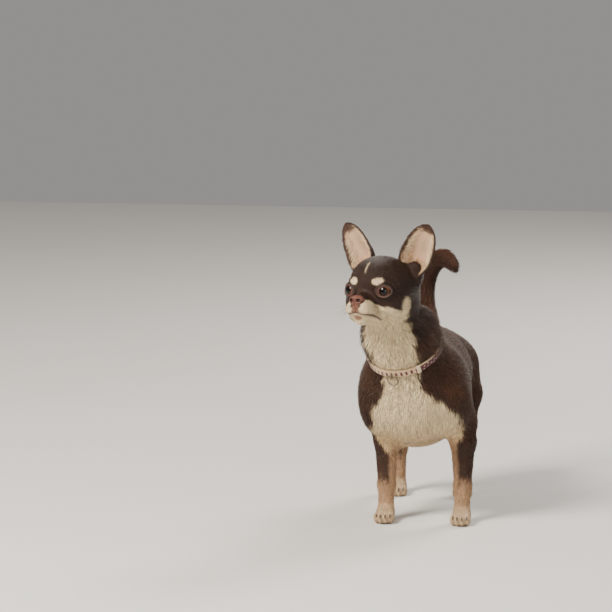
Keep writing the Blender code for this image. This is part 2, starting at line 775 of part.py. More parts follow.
def open_nostrils(pad, cutters):
    """Each nostril is a round hole with a slit that runs out and down from it."""
    for hand, side in ((1, "left"), (-1, "right")):
        spot = mirrored(NOSTRIL_AT, hand)
        parted(pad, head_object("nostril_" + side, ball_mesh(spot, NOSTRIL_SIZE, 9, 6), cutters))
        slit_axes = turned(about_y=NOSTRIL_SLIT_TILT * hand)
        spot = spot + mirrored(NOSTRIL_SLIT_OFFSET, hand)
        slit = ball_mesh(spot, NOSTRIL_SLIT_SIZE, 8, 5, slit_axes)
        parted(pad, head_object("nostril_slit_" + side, slit, cutters))


def claw_mesh(tip_at, grow):
    """A short curved claw that points forward and down."""
    mesh = bmesh.new()
    rings = []
    for share in (0.0, 0.55, 1.0):
        centre = np.array(tip_at) + np.array([0.0, -CLAW_LENGTH * share, 0.0004 - 0.0022 * share**2])
        radius = CLAW_RADIUS * (1 - share) ** 0.7 + 0.00022 + grow
        ring = []
        for turn in np.linspace(0, 2 * math.pi, CLAW_SIDES, endpoint=False):
            spot = centre + radius * np.array([0.8 * math.cos(turn), 0.0, math.sin(turn)])
            spot[1] += grow * (1 if share == 0 else -1)
            ring.append(mesh.verts.new(spot))
        rings.append(ring)
    edges = [mesh.edges.new((r[i - 1], r[i])) for r in rings for i in range(CLAW_SIDES)]
    bmesh.ops.bridge_loops(mesh, edges=edges)
    mesh.faces.new(rings[0])
    mesh.faces.new(rings[-1])
    return mesh


def add_claws(pieces, parts, cutters):
    """Four claws to a paw, each set into the end of its toe."""
    for kind, chain in (("fore", foreleg_points), ("hind", hindleg_points)):
        long, high = PAW_SIZES[kind][1:]
        for hand, side in ((1, "left"), (-1, "right")):
            heel = chain(hand)[-1]
            paw = pieces[f"{kind}paw_{side}"]
            for number, (across, reach) in enumerate(zip(TOE_SPREAD, TOE_REACH), start=1):
                root = (heel[0] + across, heel[1] - 0.006 - reach - CLAW_BEFORE_PAD, high - 0.0002)
                name = f"claw_{kind}_{side}_{number}"
                parted(paw, new_object(name + "_hole", claw_mesh(root, GAP), cutters))
                pieces[name] = new_object(name, claw_mesh(root, 0.0), parts)


def collar_course(body):
    """Points around the neck at the collar, in and out of its own plane."""
    up = COLLAR_UP / np.linalg.norm(COLLAR_UP)
    right = np.cross(up, (0, 1, 0))
    right /= -np.linalg.norm(right)
    front = np.cross(right, up)
    if front[1] > 0:
        front = -front
    turns = np.linspace(0, 2 * math.pi, COLLAR_STEPS, endpoint=False)
    ways = np.sin(turns)[:, None] * right + np.cos(turns)[:, None] * front
    reach = np.full(COLLAR_STEPS, 0.036)
    for _ in range(12):
        reach -= body.distance(COLLAR_AT + ways * reach[:, None])
    for _ in range(2):
        reach = (np.roll(reach, 1) + 2 * reach + np.roll(reach, -1)) / 4
    return up, right, front, turns, ways, reach


def band_mesh(course, inner, outer, half_height):
    """A closed band with a rectangular section around the neck."""
    up, _, _, _, ways, reach = course
    mesh = bmesh.new()
    rings = []
    for depth, lift in ((inner, -1), (outer, -0.8), (outer, 0.8), (inner, 1)):
        edge = COLLAR_AT + ways * (reach + depth)[:, None] + up * half_height * lift
        rings.append([mesh.verts.new(point) for point in edge])
    for low, high in zip(rings, rings[1:] + rings[:1]):
        for i in range(COLLAR_STEPS):
            mesh.faces.new((low[i - 1], low[i], high[i]))
            mesh.faces.new((low[i - 1], high[i], high[i - 1]))
    return mesh


def collar_spot(course, degrees, outward):
    """A point over the collar, its turn told from the dog's front, and the way out from the neck there."""
    _, _, _, turns, ways, reach = course
    turn = math.radians(degrees) % (2 * math.pi)
    length = np.interp(turn, turns, reach, period=2 * math.pi)
    way = np.array([np.interp(turn, turns, ways[:, axis], period=2 * math.pi) for axis in range(3)])
    return COLLAR_AT + way * (length + outward), way


def staple_course(spot, way, up):
    """A half circle that stands out from the band, its two ends against it."""
    reach = 2 * RING_WIRE + 0.0011
    arch = []
    for turn in np.linspace(0, math.pi, 9):
        outward = RING_WIRE + reach * math.sin(turn)
        arch.append(spot + way * outward + up * reach * math.cos(turn))
    for end in (0, -1):
        arch[end] = arch[end] - way * RING_WIRE * 0.6
    return arch


def ring_course(body, spot, way, up, steps=24):
    """The ring hangs from the staple, swung out just far enough to lie on the coat."""
    side = np.cross(way, up)
    top = spot + way * (RING_WIRE * 2 + 0.0002)
    turns = np.linspace(0, 2 * math.pi, steps, endpoint=False)
    for tilt in np.radians(np.arange(0, 90, 2)):
        down = way * math.sin(tilt) - up * math.cos(tilt)
        middle = top + down * RING_RADIUS
        across = np.cos(turns)[:, None] * down - np.sin(turns)[:, None] * side
        ring = middle - across * RING_RADIUS
        if body.distance(ring).min() > RING_WIRE + 0.0006:
            break
    return ring


def add_collar(body, pieces, parts, cutters):
    """The woven band pressed a little into the coat, its keeper loop, a staple and the ring it holds."""
    course = collar_course(body)
    up = course[0]
    half = COLLAR_HEIGHT / 2
    outer = COLLAR_THICKNESS - COLLAR_SINK
    groove = band_mesh(course, -COLLAR_SINK - GAP, outer + 0.002, half + GAP)
    groove = new_object("collar_groove", groove, cutters)
    for name in ("neck", "chest"):
        keep_largest(parted(pieces[name], groove))
    band = band_mesh(course, -COLLAR_SINK, outer, half)
    pieces["collar_band"] = new_object("collar_band", band, parts)

    spot, way = collar_spot(course, KEEPER_TURN, outer + GAP + KEEPER_SIZE[1] / 2)
    mesh = bmesh.new()
    bmesh.ops.create_cube(mesh, size=1.0)
    bmesh.ops.scale(mesh, vec=KEEPER_SIZE, verts=mesh.verts)
    bmesh.ops.bevel(mesh, geom=mesh.edges[:], offset=0.0004, segments=2, profile=0.5, affect="EDGES")
    turn = Matrix(np.stack([np.cross(way, up), way, up], 1)).to_4x4()
    bmesh.ops.transform(mesh, matrix=Matrix.Translation(spot) @ turn, verts=mesh.verts)
    pieces["collar_keeper"] = new_object("collar_keeper", mesh, parts)

    spot, way = collar_spot(course, RING_TURN, outer + GAP)
    pieces["collar_staple"] = tube("collar_staple", staple_course(spot, way, up), RING_WIRE, parts)
    ring = ring_course(body, spot, way, up)
    pieces["collar_ring"] = tube("collar_ring", ring, RING_WIRE, parts, cyclic=True)


def add_face(body, pieces, parts, cutters):
    """Eyes in their sockets behind the lids, the nose, the line of the mouth and the ears."""
    head = pieces["head"]
    for hand, side in ((1, "left"), (-1, "right")):
        centre = mirrored(EYE_AT, hand)
        socket = ball_mesh(centre, (EYE_RADIUS + GAP,) * 3, 18, 11)
        hole = head_object("eye_socket_" + side, socket, cutters)
        parted(head, eye_opening(hand, cutters, "lid_opening_" + side))
        parted(head, hole)
        eye = ball_mesh(centre, (EYE_RADIUS,) * 3, 18, 11)
        pieces["eye_" + side] = head_object("eye_" + side, eye, parts)
        keep_largest(head)
    parted(head, nose_pad("nose_hole", GAP, cutters))
    pieces["nose"] = nose_pad("nose", 0.0, parts)
    open_nostrils(pieces["nose"], cutters)
    parted(head, mouth_line(body, cutters))
    for hand, side in ((1, "left"), (-1, "right")):
        slot = thick_ear("ear_slot_" + side, hand, EAR_THICKNESS + 2 * GAP, EAR_MARGIN, cutters)
        parted(head, slot)
        pieces["ear_" + side] = thick_ear("ear_" + side, hand, EAR_THICKNESS, 0.0, parts)
    keep_largest(head)


def finish(pieces):
    """Materials, smooth shading and the place of the whole dog over its own middle."""
    coat = material("coat", CHOCOLATE, 0.7)
    cream = material("cream coat", CREAM, 0.8)
    skins = {
        "eye": material("eye", (0.05, 0.02, 0.01), 0.05),
        "nose": material("nose", NOSE_BROWN, 0.45),
        "ear": material("ear", (0.32, 0.19, 0.13), 0.7),
        "claw": material("claw", (0.10, 0.07, 0.05), 0.4),
        "collar_band": material("woven band", (0.45, 0.22, 0.15), 0.8),
        "collar_keeper": material("keeper", CREAM, 0.7),
        "collar_ring": material("steel", (0.6, 0.6, 0.6), 0.3, 1.0),
        "collar_staple": material("steel staple", (0.6, 0.6, 0.6), 0.3, 1.0),
    }
    corners = []
    for name, obj in pieces.items():
        kind = next((key for key in skins if name.startswith(key)), None)
        chosen = skins[kind] if kind else cream if "paw" in name else coat
        obj.data.materials.clear()
        obj.data.materials.append(chosen)
        obj.data.shade_smooth()
        obj.data.set_sharp_from_angle(angle=math.radians(40))
        points = coordinates(obj.data)
        corners += [points.min(0), points.max(0)]
    low, high = np.min(corners, axis=0), np.max(corners, axis=0)
    middle = Vector(((low[0] + high[0]) / 2, (low[1] + high[1]) / 2, low[2]))
    for obj in pieces.values():
        obj.location = -middle
    return middle


def main():
    clear_scene()
    parts = bpy.data.collections.new("chihuahua")
    cutters = bpy.data.collections.new("cutters")
    for collection in (parts, cutters):
        bpy.context.scene.collection.children.link(collection)
    body = Body()
    whole = thinned(smooth_body(body, parts))
    floor = bmesh.new()
    bmesh.ops.create_cube(floor, size=1.0, matrix=Matrix.Translation((0, 0, -0.5)))
    parted(whole, new_object("floor_cut", floor, cutters))
    pieces = part_body(whole, parts, cutters)
    add_face(body, pieces, parts, cutters)
    add_claws(pieces, parts, cutters)
    add_collar(body, pieces, parts, cutters)
    finish(pieces)
    for obj in cutters.objects:
        obj.hide_render = True
        obj.display_type = "WIRE"


main()
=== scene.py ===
"""A standing chihuahua with a short chocolate and cream coat, on a pale floor in soft studio light."""

import math

import bmesh
import bpy
import numpy as np
from mathutils import Matrix, Vector


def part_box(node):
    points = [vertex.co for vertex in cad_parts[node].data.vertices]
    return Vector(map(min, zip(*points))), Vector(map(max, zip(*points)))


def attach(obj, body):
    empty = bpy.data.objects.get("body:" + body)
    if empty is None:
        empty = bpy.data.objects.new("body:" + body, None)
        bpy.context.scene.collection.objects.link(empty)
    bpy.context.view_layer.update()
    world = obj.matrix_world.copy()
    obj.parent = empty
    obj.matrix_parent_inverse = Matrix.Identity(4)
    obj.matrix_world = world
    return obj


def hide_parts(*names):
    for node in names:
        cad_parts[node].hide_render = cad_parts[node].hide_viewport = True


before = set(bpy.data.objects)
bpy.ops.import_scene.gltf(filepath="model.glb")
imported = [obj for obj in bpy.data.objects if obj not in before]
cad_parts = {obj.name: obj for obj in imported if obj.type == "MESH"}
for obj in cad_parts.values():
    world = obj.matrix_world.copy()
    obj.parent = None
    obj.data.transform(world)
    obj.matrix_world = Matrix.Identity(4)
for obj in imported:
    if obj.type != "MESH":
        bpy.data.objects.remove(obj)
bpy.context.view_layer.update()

# The dog's left side is towards X and its right side against it
SIDES = ((1, "left"), (-1, "right"))
PIECES = []

# Sizes of the body, in metres; the dog looks against Y and stands on the floor
WITHERS = 0.197
BACK_END = 0.184
CHEST_HALF = 0.059
LEG_HALF_SPAN = 0.0405
HIND_HALF_SPAN = 0.036
STANCE_SHIFT = 0.0092
FORELEG_RADII = (0.0190, 0.0160, 0.0137, 0.0094, 0.0086)
HINDLEG_RADII = (0.0300, 0.0235, 0.0165, 0.0135, 0.0080, 0.0074)
PAW_SIZES = {"fore": (0.0112, 0.0150, 0.0092), "hind": (0.0100, 0.0140, 0.0085)}
TOE_SPREAD = (-0.0072, -0.0025, 0.0025, 0.0072)
TOE_REACH = (0.0110, 0.0145, 0.0145, 0.0110)
TOE_SIZE = (0.0038, 0.0075, 0.0062)
CLAW_LENGTH = 0.0058
CLAW_RADIUS = 0.0013
CLAW_TIP = 0.00012
CLAW_SIDES = 14
CLAW_RINGS = 9
CLAW_BEFORE_PAD = 0.0050
TAIL_RADII = (0.0130, 0.0108, 0.0098, 0.0094, 0.0096, 0.0100, 0.0096, 0.0070, 0.0036)
TAIL_STEPS = 3

# The head's place and turn, then its parts in its own frame: left, back, up
HEAD_AT = np.array([-0.0283, -0.124, 0.2545])
HEAD_TURN = math.radians(-25.0)
HEAD_LIFT = math.radians(4.0)
HEAD_ROLL = math.radians(-2.5)
EYE_RADIUS = 0.0092
EYE_AT = np.array([0.0188, -0.0225, 0.0003])
EYE_OUTWARD = math.radians(20.0)
EYE_OPENING = (0.0070, 0.0055, 0.0049)
EYE_SLANT = math.radians(-6.0)
ALMOND = 1.85
LID = 0.0013
EAR_INNER = np.array([0.0162, 0.0060, 0.0350])
EAR_OUTER = np.array([0.0430, 0.0120, 0.0150])
EAR_TIP = np.array([0.0503, 0.0095, 0.0676])
EAR_HALF_WIDTH = 0.0176
EAR_NARROW = 0.62
EAR_ROOT = 0.16
EAR_CURL = (88.0, 32.0)
EAR_LEAN = 0.0015
EAR_THICKNESS = 0.0018
NOSE_AT = np.array([0.0, -0.0467, -0.0086])
NOSE_SIZE = (0.0088, 0.0053, 0.0065)
MOUTH_FRONT = np.array([0.0, -0.0495, -0.0215])
MOUTH_CORNER = np.array([0.0170, -0.0290, -0.0270])
MOUTH_BOW = 0.0012
FACE_MIDDLE = np.array([0, -0.040, -0.010])
MUZZLE_BACK = -0.020

# Rings of the eye, in degrees from the middle of the pupil
PUPIL_EDGE = 26
IRIS_START = 30
IRIS_END = 44
RIM_END = 50

# Folds of the face: height, distance from the edge of the lids or from the line of the lips, and width
LID_RIM = (0.00055, 0.0010, 0.0008)
LID_CREASE = (0.00060, 0.0034, 0.0009)
LID_UNDER = (0.00035, 0.0038, 0.0011)
LIP_LINE = (0.0013, 0.0, 0.0006)
LIP_EDGE = (0.00045, 0.0016, 0.0009)
NOSE_GROOVE = (0.0009, 0.0, 0.0006)

# How far from the head's middle its folds, its bare skin, its markings and its tufts reach
FOLDS_REACH = 0.06
BARE_REACH = 0.055
MARKS_REACH = 0.062
TUFTS_REACH = 0.065
DENSE_REACH = 0.07

# How far neighbouring masses melt into each other
TRUNK_MELT = 0.018
NECK_MELT = 0.012
LEG_MELT = 0.006
TOE_MELT = 0.0022
PAW_MELT = 0.005
LEG_ROOT_MELT = 0.012
TAIL_MELT = 0.006
TAIL_ROOT_MELT = 0.008
SKULL_MELT = 0.010
FACE_MELT = 0.0045
FACE_TO_SKULL_MELT = 0.006
HEAD_TO_NECK_MELT = 0.008

# The collar; turns are degrees from its front, towards the dog's left
COLLAR_AT = np.array([-0.0075, -0.092, 0.1865])
COLLAR_UP = np.array([-0.20, -0.50, 0.84])
COLLAR_HEIGHT = 0.0072
COLLAR_THICKNESS = 0.0022
COLLAR_SINK = 0.0008
COLLAR_STEPS = 36
COLLAR_FACE = COLLAR_THICKNESS - COLLAR_SINK
THREAD = 0.0011
DASH = 0.0050
DASHES_TURN = -75
BAND_STEPS = 540
BAND_RADIUS = 0.034
BAND_START = 0.2
KEEPER_TURN = 22.0
KEEPER_SIZE = (0.0042, 0.0014, 0.0090)
RING_TURN = -22.0
RING_RADIUS = 0.0058
RING_WIRE = 0.0007
RING_STEPS = 72
RING_PLAY = 0.0002
RING_OFF_COAT = 0.0006
STAPLE_ROOM = 0.0011
STAPLE_STEPS = 4
WIRE_ROUNDNESS = 4
GAP = 0.0004

# The coat by region: its depth over the skin, then its tufts' closeness, length, width and rise in radians
REGIONS = ("head", "neck", "trunk", "leg", "tail")
COAT_DEPTH = np.array([0.0009, 0.0030, 0.0024, 0.0012, 0.0036])
TUFT_CLOSENESS = np.array([3.3, 1.25, 1.05, 1.25, 1.3])
TUFT_LENGTH = np.array([0.0046, 0.0100, 0.0078, 0.0048, 0.0080])
TUFT_WIDTH = np.array([0.00052, 0.00072, 0.00074, 0.00058, 0.00072])
TUFT_RISE = np.array([0.20, 0.32, 0.19, 0.20, 0.30])
TUFTS = 118000
EAR_TUFTS = 1.0
SKIN_VOXEL = 0.0015
ROOT_DEPTH = 0.0004
WHISKER_LENGTHS = (0.012, 0.021)
WHISKER_RADIUS = 0.00011
WHISKER_TIP = 0.00002
WHISKER_DROOP = np.array([0, 0.25, -0.45])
FLOOR_CLEARANCE = 0.0001
REGION_BLEND = 0.0035
SLOPE_STEP = 0.0002
LONGEST_MOVE = 0.002

# A tuft: its faces over three root, three middle and one tip vertex, their painted shade, darkest at the root
# and brightest at the tip, and its patch of the map
TUFT_SIDES = ((0, 2, 1), (0, 1, 4), (0, 4, 3), (1, 2, 5), (1, 5, 4), (2, 0, 3), (2, 3, 5))
TUFT_FACES = TUFT_SIDES + ((3, 4, 6), (4, 5, 6), (5, 3, 6))
TUFT_PAINTED_SHADE = (0.72, 0.72, 0.72, 0.98, 0.98, 0.98, 1.12)
TUFT_ROOT_PATCH = ((0, 0), (0.0006, 0), (0.0012, 0))
TUFT_PATCH = TUFT_ROOT_PATCH + ((0, 0.0012), (0.0006, 0.0014), (0.0012, 0.0012), (0.0006, 0.0024))
TUFT_PATCH_MIDDLE = np.array([0.0006, 0.0012])

# Colours
DARK = np.array([0.026, 0.0102, 0.0056])
# Warm brown of the coat, also the painted highlight where dark fur faces up
WARM_AND_HIGHLIGHT = np.array([0.160, 0.058, 0.024])
CREAM_FUR = np.array([0.90, 0.71, 0.45])
TAN = np.array([0.47, 0.285, 0.160])
LIP = np.array([0.050, 0.022, 0.018])
RUST = np.array([0.200, 0.070, 0.042])
LID_SKIN = np.array([0.082, 0.037, 0.026])
NOSE_BROWN = np.array([0.135, 0.047, 0.032])
AMBER = np.array([0.20, 0.060, 0.014])
PUPIL = np.array([0.003, 0.002, 0.002])
IRIS_RIM = np.array([0.010, 0.005, 0.004])
EYE_OUTER = np.array([0.045, 0.024, 0.019])
EAR_BEIGE = np.array([0.50, 0.33, 0.205])
EAR_BROWN = np.array([0.060, 0.030, 0.020])
EAR_RED = np.array([0.46, 0.155, 0.110])
WHISKER = np.array([0.10, 0.06, 0.04])
BAND_CREAM = np.array([0.62, 0.45, 0.28])
BAND_TAN = np.array([0.50, 0.33, 0.19])
BAND_MAROON = np.array([0.105, 0.014, 0.018])
BAND_DEEP = np.array([0.060, 0.009, 0.014])
BAND_PALE = np.array([0.72, 0.55, 0.48])
KEEPER_CREAM = np.array([0.70, 0.55, 0.37])

# The throat and chest patch, from the belly up: its middle and its half width at each height
PATCH_HEIGHTS = (0.070, 0.095, 0.122, 0.134, 0.145, 0.156, 0.169, 0.200, 0.215, 0.228)
PATCH_MIDDLES = (0.004, 0.004, 0.004, 0.000, -0.0045, -0.008, -0.0105, -0.019, -0.0228, -0.025)
PATCH_HALVES = (0.030, 0.046, 0.046, 0.036, 0.0245, 0.017, 0.0195, 0.0243, 0.0238, 0.023)

# Cream spots over the eyes and on the cheeks: middle and size, seen from the front and from the side
BROW_SPOT = ((0.0138, 0.0100), (0.0052, 0.0034))
CHEEK_SPOT = ((-0.0088, -0.0155), (0.0056, 0.0098))

# Rust coloured fur beside the nose, on the chin and on the upper lip: middle and size
RUST_SPOTS = (
    ((0, -0.0485, -0.0165), (0.0050, 0.0070, 0.0052)),
    ((0, -0.0470, -0.0262), (0.0060, 0.0060, 0.0032)),
    ((0, -0.0470, -0.0190), (0.0072, 0.0080, 0.0030)),
)

# Hair of the ears by kind
EAR_CREAM = np.array([0.74, 0.55, 0.36])
EAR_HAIR = {
    # Number, length low and high on the ear, how late it shortens, width, rise, lie up and outward, colour
    "back": (4200, 0.0032, 0.00128, 4, 0.00055, 0.22, 1.0, 0.2, DARK * 1.35),
    "border": (5200, 0.0024, 0.0012, 4, 0.00045, 0.25, 1.0, 0.8, np.array([0.075, 0.036, 0.022])),
    "fringe": (3600, 0.0095, 0.0040, 1, 0.00042, 0.30, 0.8, -0.7, EAR_CREAM),
    "down": (2600, 0.0016, 0.0016, 1, 0.00022, 0.25, 1.0, -0.2, np.array([0.58, 0.40, 0.27])),
    "base": (3000, 0.0055, 0.0055, 1, 0.00040, 0.45, 1.0, -0.5, EAR_CREAM * np.array([0.95, 0.88, 0.8])),
}

# The nodes of flesh that the one skin replaces
LEG_NODES = ("upper_foreleg", "forearm", "forepaw", "thigh", "shank", "hindpaw")
FLESH = ["head", "neck", "chest", "belly", "rump", "tail_base", "tail_middle", "tail_tip"]
FLESH += [f"{part}_{side}" for part in LEG_NODES for side in ("left", "right")]

# The studio, with each lamp's place, size, power and colour
FLOOR_SIZE = 3.0
SURROUND = (0.86, 0.84, 0.80, 1)
SURROUND_STRENGTH = 0.36
LAMPS = (
    ("key", (-1.1, -1.3, 1.6), 0.7, 96.0, (1.0, 0.93, 0.82)),
    ("fill", (0.5, -1.9, 0.7), 1.2, 13.0, (1.0, 0.97, 0.92)),
    ("rim", (0.9, 1.5, 1.6), 0.8, 46.0, (1.0, 0.94, 0.86)),
)

# The photograph's view: degrees and metres, metres for each pixel, and the head's place in the picture
CAMERA_AZIMUTH = 9.0
CAMERA_ELEVATION = 8.0
CAMERA_DISTANCE = 3.2
PIXEL = 0.00103
FRAME = 612
HEAD_PIXEL = (381.6, 290.2)


def turned(about_x=0.0, about_y=0.0, about_z=0.0):
    """A rotation matrix: first about Y, then about X, then about Z."""
    turn = Matrix.Rotation(about_z, 3, "Z") @ Matrix.Rotation(about_x, 3, "X")
    return np.array(turn @ Matrix.Rotation(about_y, 3, "Y"))


HEAD_AXES = turned(-HEAD_LIFT, HEAD_ROLL, HEAD_TURN)


def from_head(point):
    """A point of the head's own frame, in the dog's frame."""
    return HEAD_AT + HEAD_AXES @ np.asarray(point, float)


def to_head(points):
    """Points of the dog's frame, in the head's own frame."""
    return (points - HEAD_AT) @ HEAD_AXES


def mirrored(point, side):
    return np.array([point[0] * side, point[1], point[2]])


def bell(value, width):
    return np.exp(-((value / width) ** 2))


def ridge(value, height, at, width):
    """A smooth rise of a height and width, where the value is at a place."""
    return height * bell(value - at, width)


def ramp(value, low, high):
    """0 below low, 1 above high, smooth between; low may be the larger."""
    share = np.clip((value - low) / (high - low), 0.0, 1.0)
    return share * share * (3 - 2 * share)


def ripple(points, scale, seed=0.0):
    """Smooth waviness between about -1 and 1."""
    x, y, z = (points / scale).T
    first = np.sin(x * 1.7 + seed + 1.3 * np.sin(y * 1.1 + seed))
    first = first * np.sin(y * 1.9 + 0.7 + 1.1 * np.sin(z * 1.3))
    second = np.sin(z * 2.3 + seed * 1.7 + 1.2 * np.sin(x * 1.2)) * np.sin(x * 2.9 + y * 2.1 + seed)
    return 0.6 * first + 0.4 * second


def mixed(colour, other, share):
    """The colours, moved towards another colour by a share for each."""
    return colour + (other - colour) * share[:, None]


def unit_rows(ways):
    return ways / np.maximum(np.linalg.norm(ways, axis=1), 1e-9)[:, None]


def add_hull(mesh, ends):
    """The hull of two stretched balls, given as centres and radii."""
    balls = bmesh.new()
    for centre, radii in ends:
        place = Matrix.Translation(centre) @ Matrix.Diagonal((*radii, 1.0))
        bmesh.ops.create_uvsphere(balls, u_segments=18, v_segments=12, radius=1.0, matrix=place)
    loose = [mesh.verts.new(vert.co) for vert in balls.verts]
    balls.free()
    hull = bmesh.ops.convex_hull(mesh, input=loose)
    inside = [item for item in hull["geom_interior"] if isinstance(item, bmesh.types.BMVert)]
    bmesh.ops.delete(mesh, geom=inside, context="VERTS")


class Ball:
    """A stretched ball. Its distance is negative inside."""

    def __init__(self, centre, radii, axes=None):
        self.centre = np.asarray(centre, float)
        self.radii = np.asarray(radii, float)
        self.axes = np.eye(3) if axes is None else axes

    def distance(self, points):
        local = (points - self.centre) @ self.axes
        near = np.linalg.norm(local / self.radii, axis=1)
        slope = np.linalg.norm(local / self.radii**2, axis=1)
        return near * (near - 1.0) / np.maximum(slope, 1e-9)

    def add_to(self, mesh):
        made = bmesh.ops.create_uvsphere(mesh, u_segments=24, v_segments=14, radius=1.0)
        place = Matrix.Translation(self.centre) @ Matrix(self.axes).to_4x4()
        bmesh.ops.transform(mesh, matrix=place @ Matrix.Diagonal((*self.radii, 1.0)), verts=made["verts"])


class Limb:
    """A limb piece: the hull of a ball at each end."""

    def __init__(self, start, end, start_radius, end_radius):
        self.start, self.end = np.asarray(start, float), np.asarray(end, float)
        self.radii = (start_radius, end_radius)

    def distance(self, points):
        first, last = self.radii
        along = self.end - self.start
        length2 = along @ along
        slope = first - last
        rest = length2 - slope**2
        offset = points - self.start
        y = offset @ along
        z = y - length2
        x2 = ((offset * length2 - along * y[:, None]) ** 2).sum(1)
        y2, z2 = y**2 * length2, z**2 * length2
        side = math.copysign(1.0, slope) * slope**2 * x2
        middle = (np.sqrt(x2 * rest / length2) + y * slope) / length2 - first
        at_end = np.sqrt(x2 + z2) / length2 - last
        at_start = np.sqrt(x2 + y2) / length2 - first
        found = np.where(np.sign(y) * rest * y2 < side, at_start, middle)
        return np.where(np.sign(z) * rest * z2 > side, at_end, found)

    def add_to(self, mesh):
        ends = [(centre, (radius,) * 3) for centre, radius in zip((self.start, self.end), self.radii)]
        add_hull(mesh, ends)


def melted(first, second, reach):
    """The smooth union of two distances, which fills the crease between them over reach."""
    share = np.clip(0.5 + 0.5 * (second - first) / reach, 0.0, 1.0)
    return second * (1 - share) + first * share - reach * share * (1 - share)


def melt_all(forms, points, reach):
    found = forms[0].distance(points)
    for form in forms[1:]:
        found = melted(found, form.distance(points), reach)
    return found


def trunk_forms():
    """Rib cage, forechest, back, belly, rump and shoulders."""
    side = CHEST_HALF
    forms = [
        Ball((-0.002, -0.036, 0.136), (side - 0.002, 0.070, 0.0610)),
        Ball((-0.002, -0.088, 0.131), (0.041, 0.029, 0.038)),
        Limb((0.000, -0.056, WITHERS - 0.034), (0.001, 0.030, WITHERS - 0.036), 0.034, 0.032),
        Limb((0.001, 0.030, WITHERS - 0.036), (0.000, 0.084, BACK_END - 0.030), 0.032, 0.030),
        Ball((0.000, 0.026, 0.146), (side - 0.008, 0.064, 0.042)),
        Ball((0.000, 0.080, 0.146), (0.043, 0.036, 0.040)),
    ]
    shoulder_axes = turned(about_x=math.radians(-22))
    for hand in (1, -1):
        forms.append(Ball((-0.001 + 0.038 * hand, -0.066, 0.138), (0.0210, 0.029, 0.043), shoulder_axes))
    return forms


def neck_forms():
    """The neck, which leans to the dog's right, with the fuller coat at its sides."""
    skull_base = from_head((0.0, 0.016, -0.020))
    collar_mid = np.array([-0.0095, -0.096, 0.196])
    forms = [
        Limb((-0.001, -0.072, 0.160), collar_mid, 0.041, 0.0345),
        Limb(collar_mid, skull_base, 0.0345, 0.0295),
    ]
    for hand in (1, -1):
        ruff = np.array([-0.014 + 0.019 * hand, -0.090, 0.207])
        forms.append(Ball(ruff, (0.0185, 0.020, 0.027)))
    return forms


def lip_fold(hand):
    """The upper lip, which hangs a little over the lower one towards the corner of the mouth."""
    front, corner = mirrored((0.0085, -0.0370, -0.0205), hand), mirrored((0.0150, -0.0255, -0.0250), hand)
    return Limb(front, corner, 0.0060, 0.0072)


def head_forms():
    """The masses of the skull, cheeks, muzzle and jaw, in the head's frame."""
    skull = [
        Ball((0, 0.0085, 0.0030), (0.0350, 0.0335, 0.0305)),
        Ball((0, -0.0060, 0.0082), (0.0292, 0.0285, 0.0262)),
    ]
    face = [
        Limb((0, -0.0180, -0.0140), (0, -0.0395, -0.0150), 0.0155, 0.0104),
        Limb((0, -0.0260, -0.0078), (0, -0.0428, -0.0092), 0.0076, 0.0061),
        Limb((0, -0.0060, -0.0230), (0, -0.0385, -0.0275), 0.0125, 0.0074),
        Ball((0, -0.0440, -0.0098), (0.0084, 0.0051, 0.0062)),
    ]
    for hand in (1, -1):
        skull += [
            Ball(mirrored((0.0205, -0.0060, -0.0125), hand), (0.0150, 0.0200, 0.0165)),
            Ball(mirrored((0.0215, 0.0090, -0.0120), hand), (0.0140, 0.0190, 0.0185)),
        ]
        face += [
            Ball(mirrored(EYE_AT, hand), (EYE_RADIUS + LID,) * 3),
            Ball(mirrored((0.0280, 0.0175, 0.0165), hand), (0.0105, 0.0085, 0.0130)),
            Ball(mirrored((0.0140, -0.0250, 0.0075), hand), (0.0085, 0.0062, 0.0050)),
            Ball(mirrored((0.0066, -0.0405, -0.0175), hand), (0.0082, 0.0105, 0.0080)),
            lip_fold(hand),
        ]
    return skull, face


def leg_chain(points, radii):
    return [Limb(a, b, ra, rb) for a, b, ra, rb in zip(points, points[1:], radii, radii[1:])]


def rounded_course(values, steps):
    """The values along a smooth curve that passes through each of them."""
    values = np.array(values, float)
    ends = np.concatenate([2 * values[:1] - values[1:2], values, 2 * values[-1:] - values[-2:-1]])
    found = []
    for a, b, c, d in zip(ends, ends[1:], ends[2:], ends[3:]):
        for share in np.arange(steps) / steps:
            bend = 2 * a - 5 * b + 4 * c - d
            turn = 3 * b - a - 3 * c + d
            found.append(b + 0.5 * share * (c - a + share * (bend + share * turn)))
    return found + [values[-1]]


def foreleg_points(hand):
    """Shoulder, elbow, top of the forearm's muscle, wrist, knuckles."""
    x = STANCE_SHIFT + LEG_HALF_SPAN * hand
    return [
        np.array([x - 0.006 - 0.006 * hand, -0.080, 0.134]),
        np.array([x - 0.002, -0.050, 0.106]),
        np.array([x, -0.054, 0.086]),
        np.array([x, -0.056, 0.038]),
        np.array([x, -0.060, 0.016]),
    ]


def hindleg_points(hand):
    """Hip, thigh, knee, calf, hock, knuckles."""
    x = HIND_HALF_SPAN * hand
    return [
        np.array([x - 0.013 * hand, 0.074, 0.146]),
        np.array([x - 0.002 * hand, 0.060, 0.118]),
        np.array([x + 0.001 * hand, 0.046, 0.098]),
        np.array([x, 0.064, 0.078]),
        np.array([x, 0.094, 0.050]),
        np.array([x, 0.088, 0.016]),
    ]


def paw_forms(heel, kind):
    """The pad of the foot and its four toes, in front of the leg's knuckles."""
    wide, long, high = PAW_SIZES[kind]
    centre = np.array([heel[0], heel[1] - 0.006, high - 0.0010])
    forms = [Ball(centre, (wide * 0.92, long, high))]
    for across, reach in zip(TOE_SPREAD, TOE_REACH):
        forms.append(Ball(centre + np.array([across, -reach, -0.0022]), TOE_SIZE))
    return forms


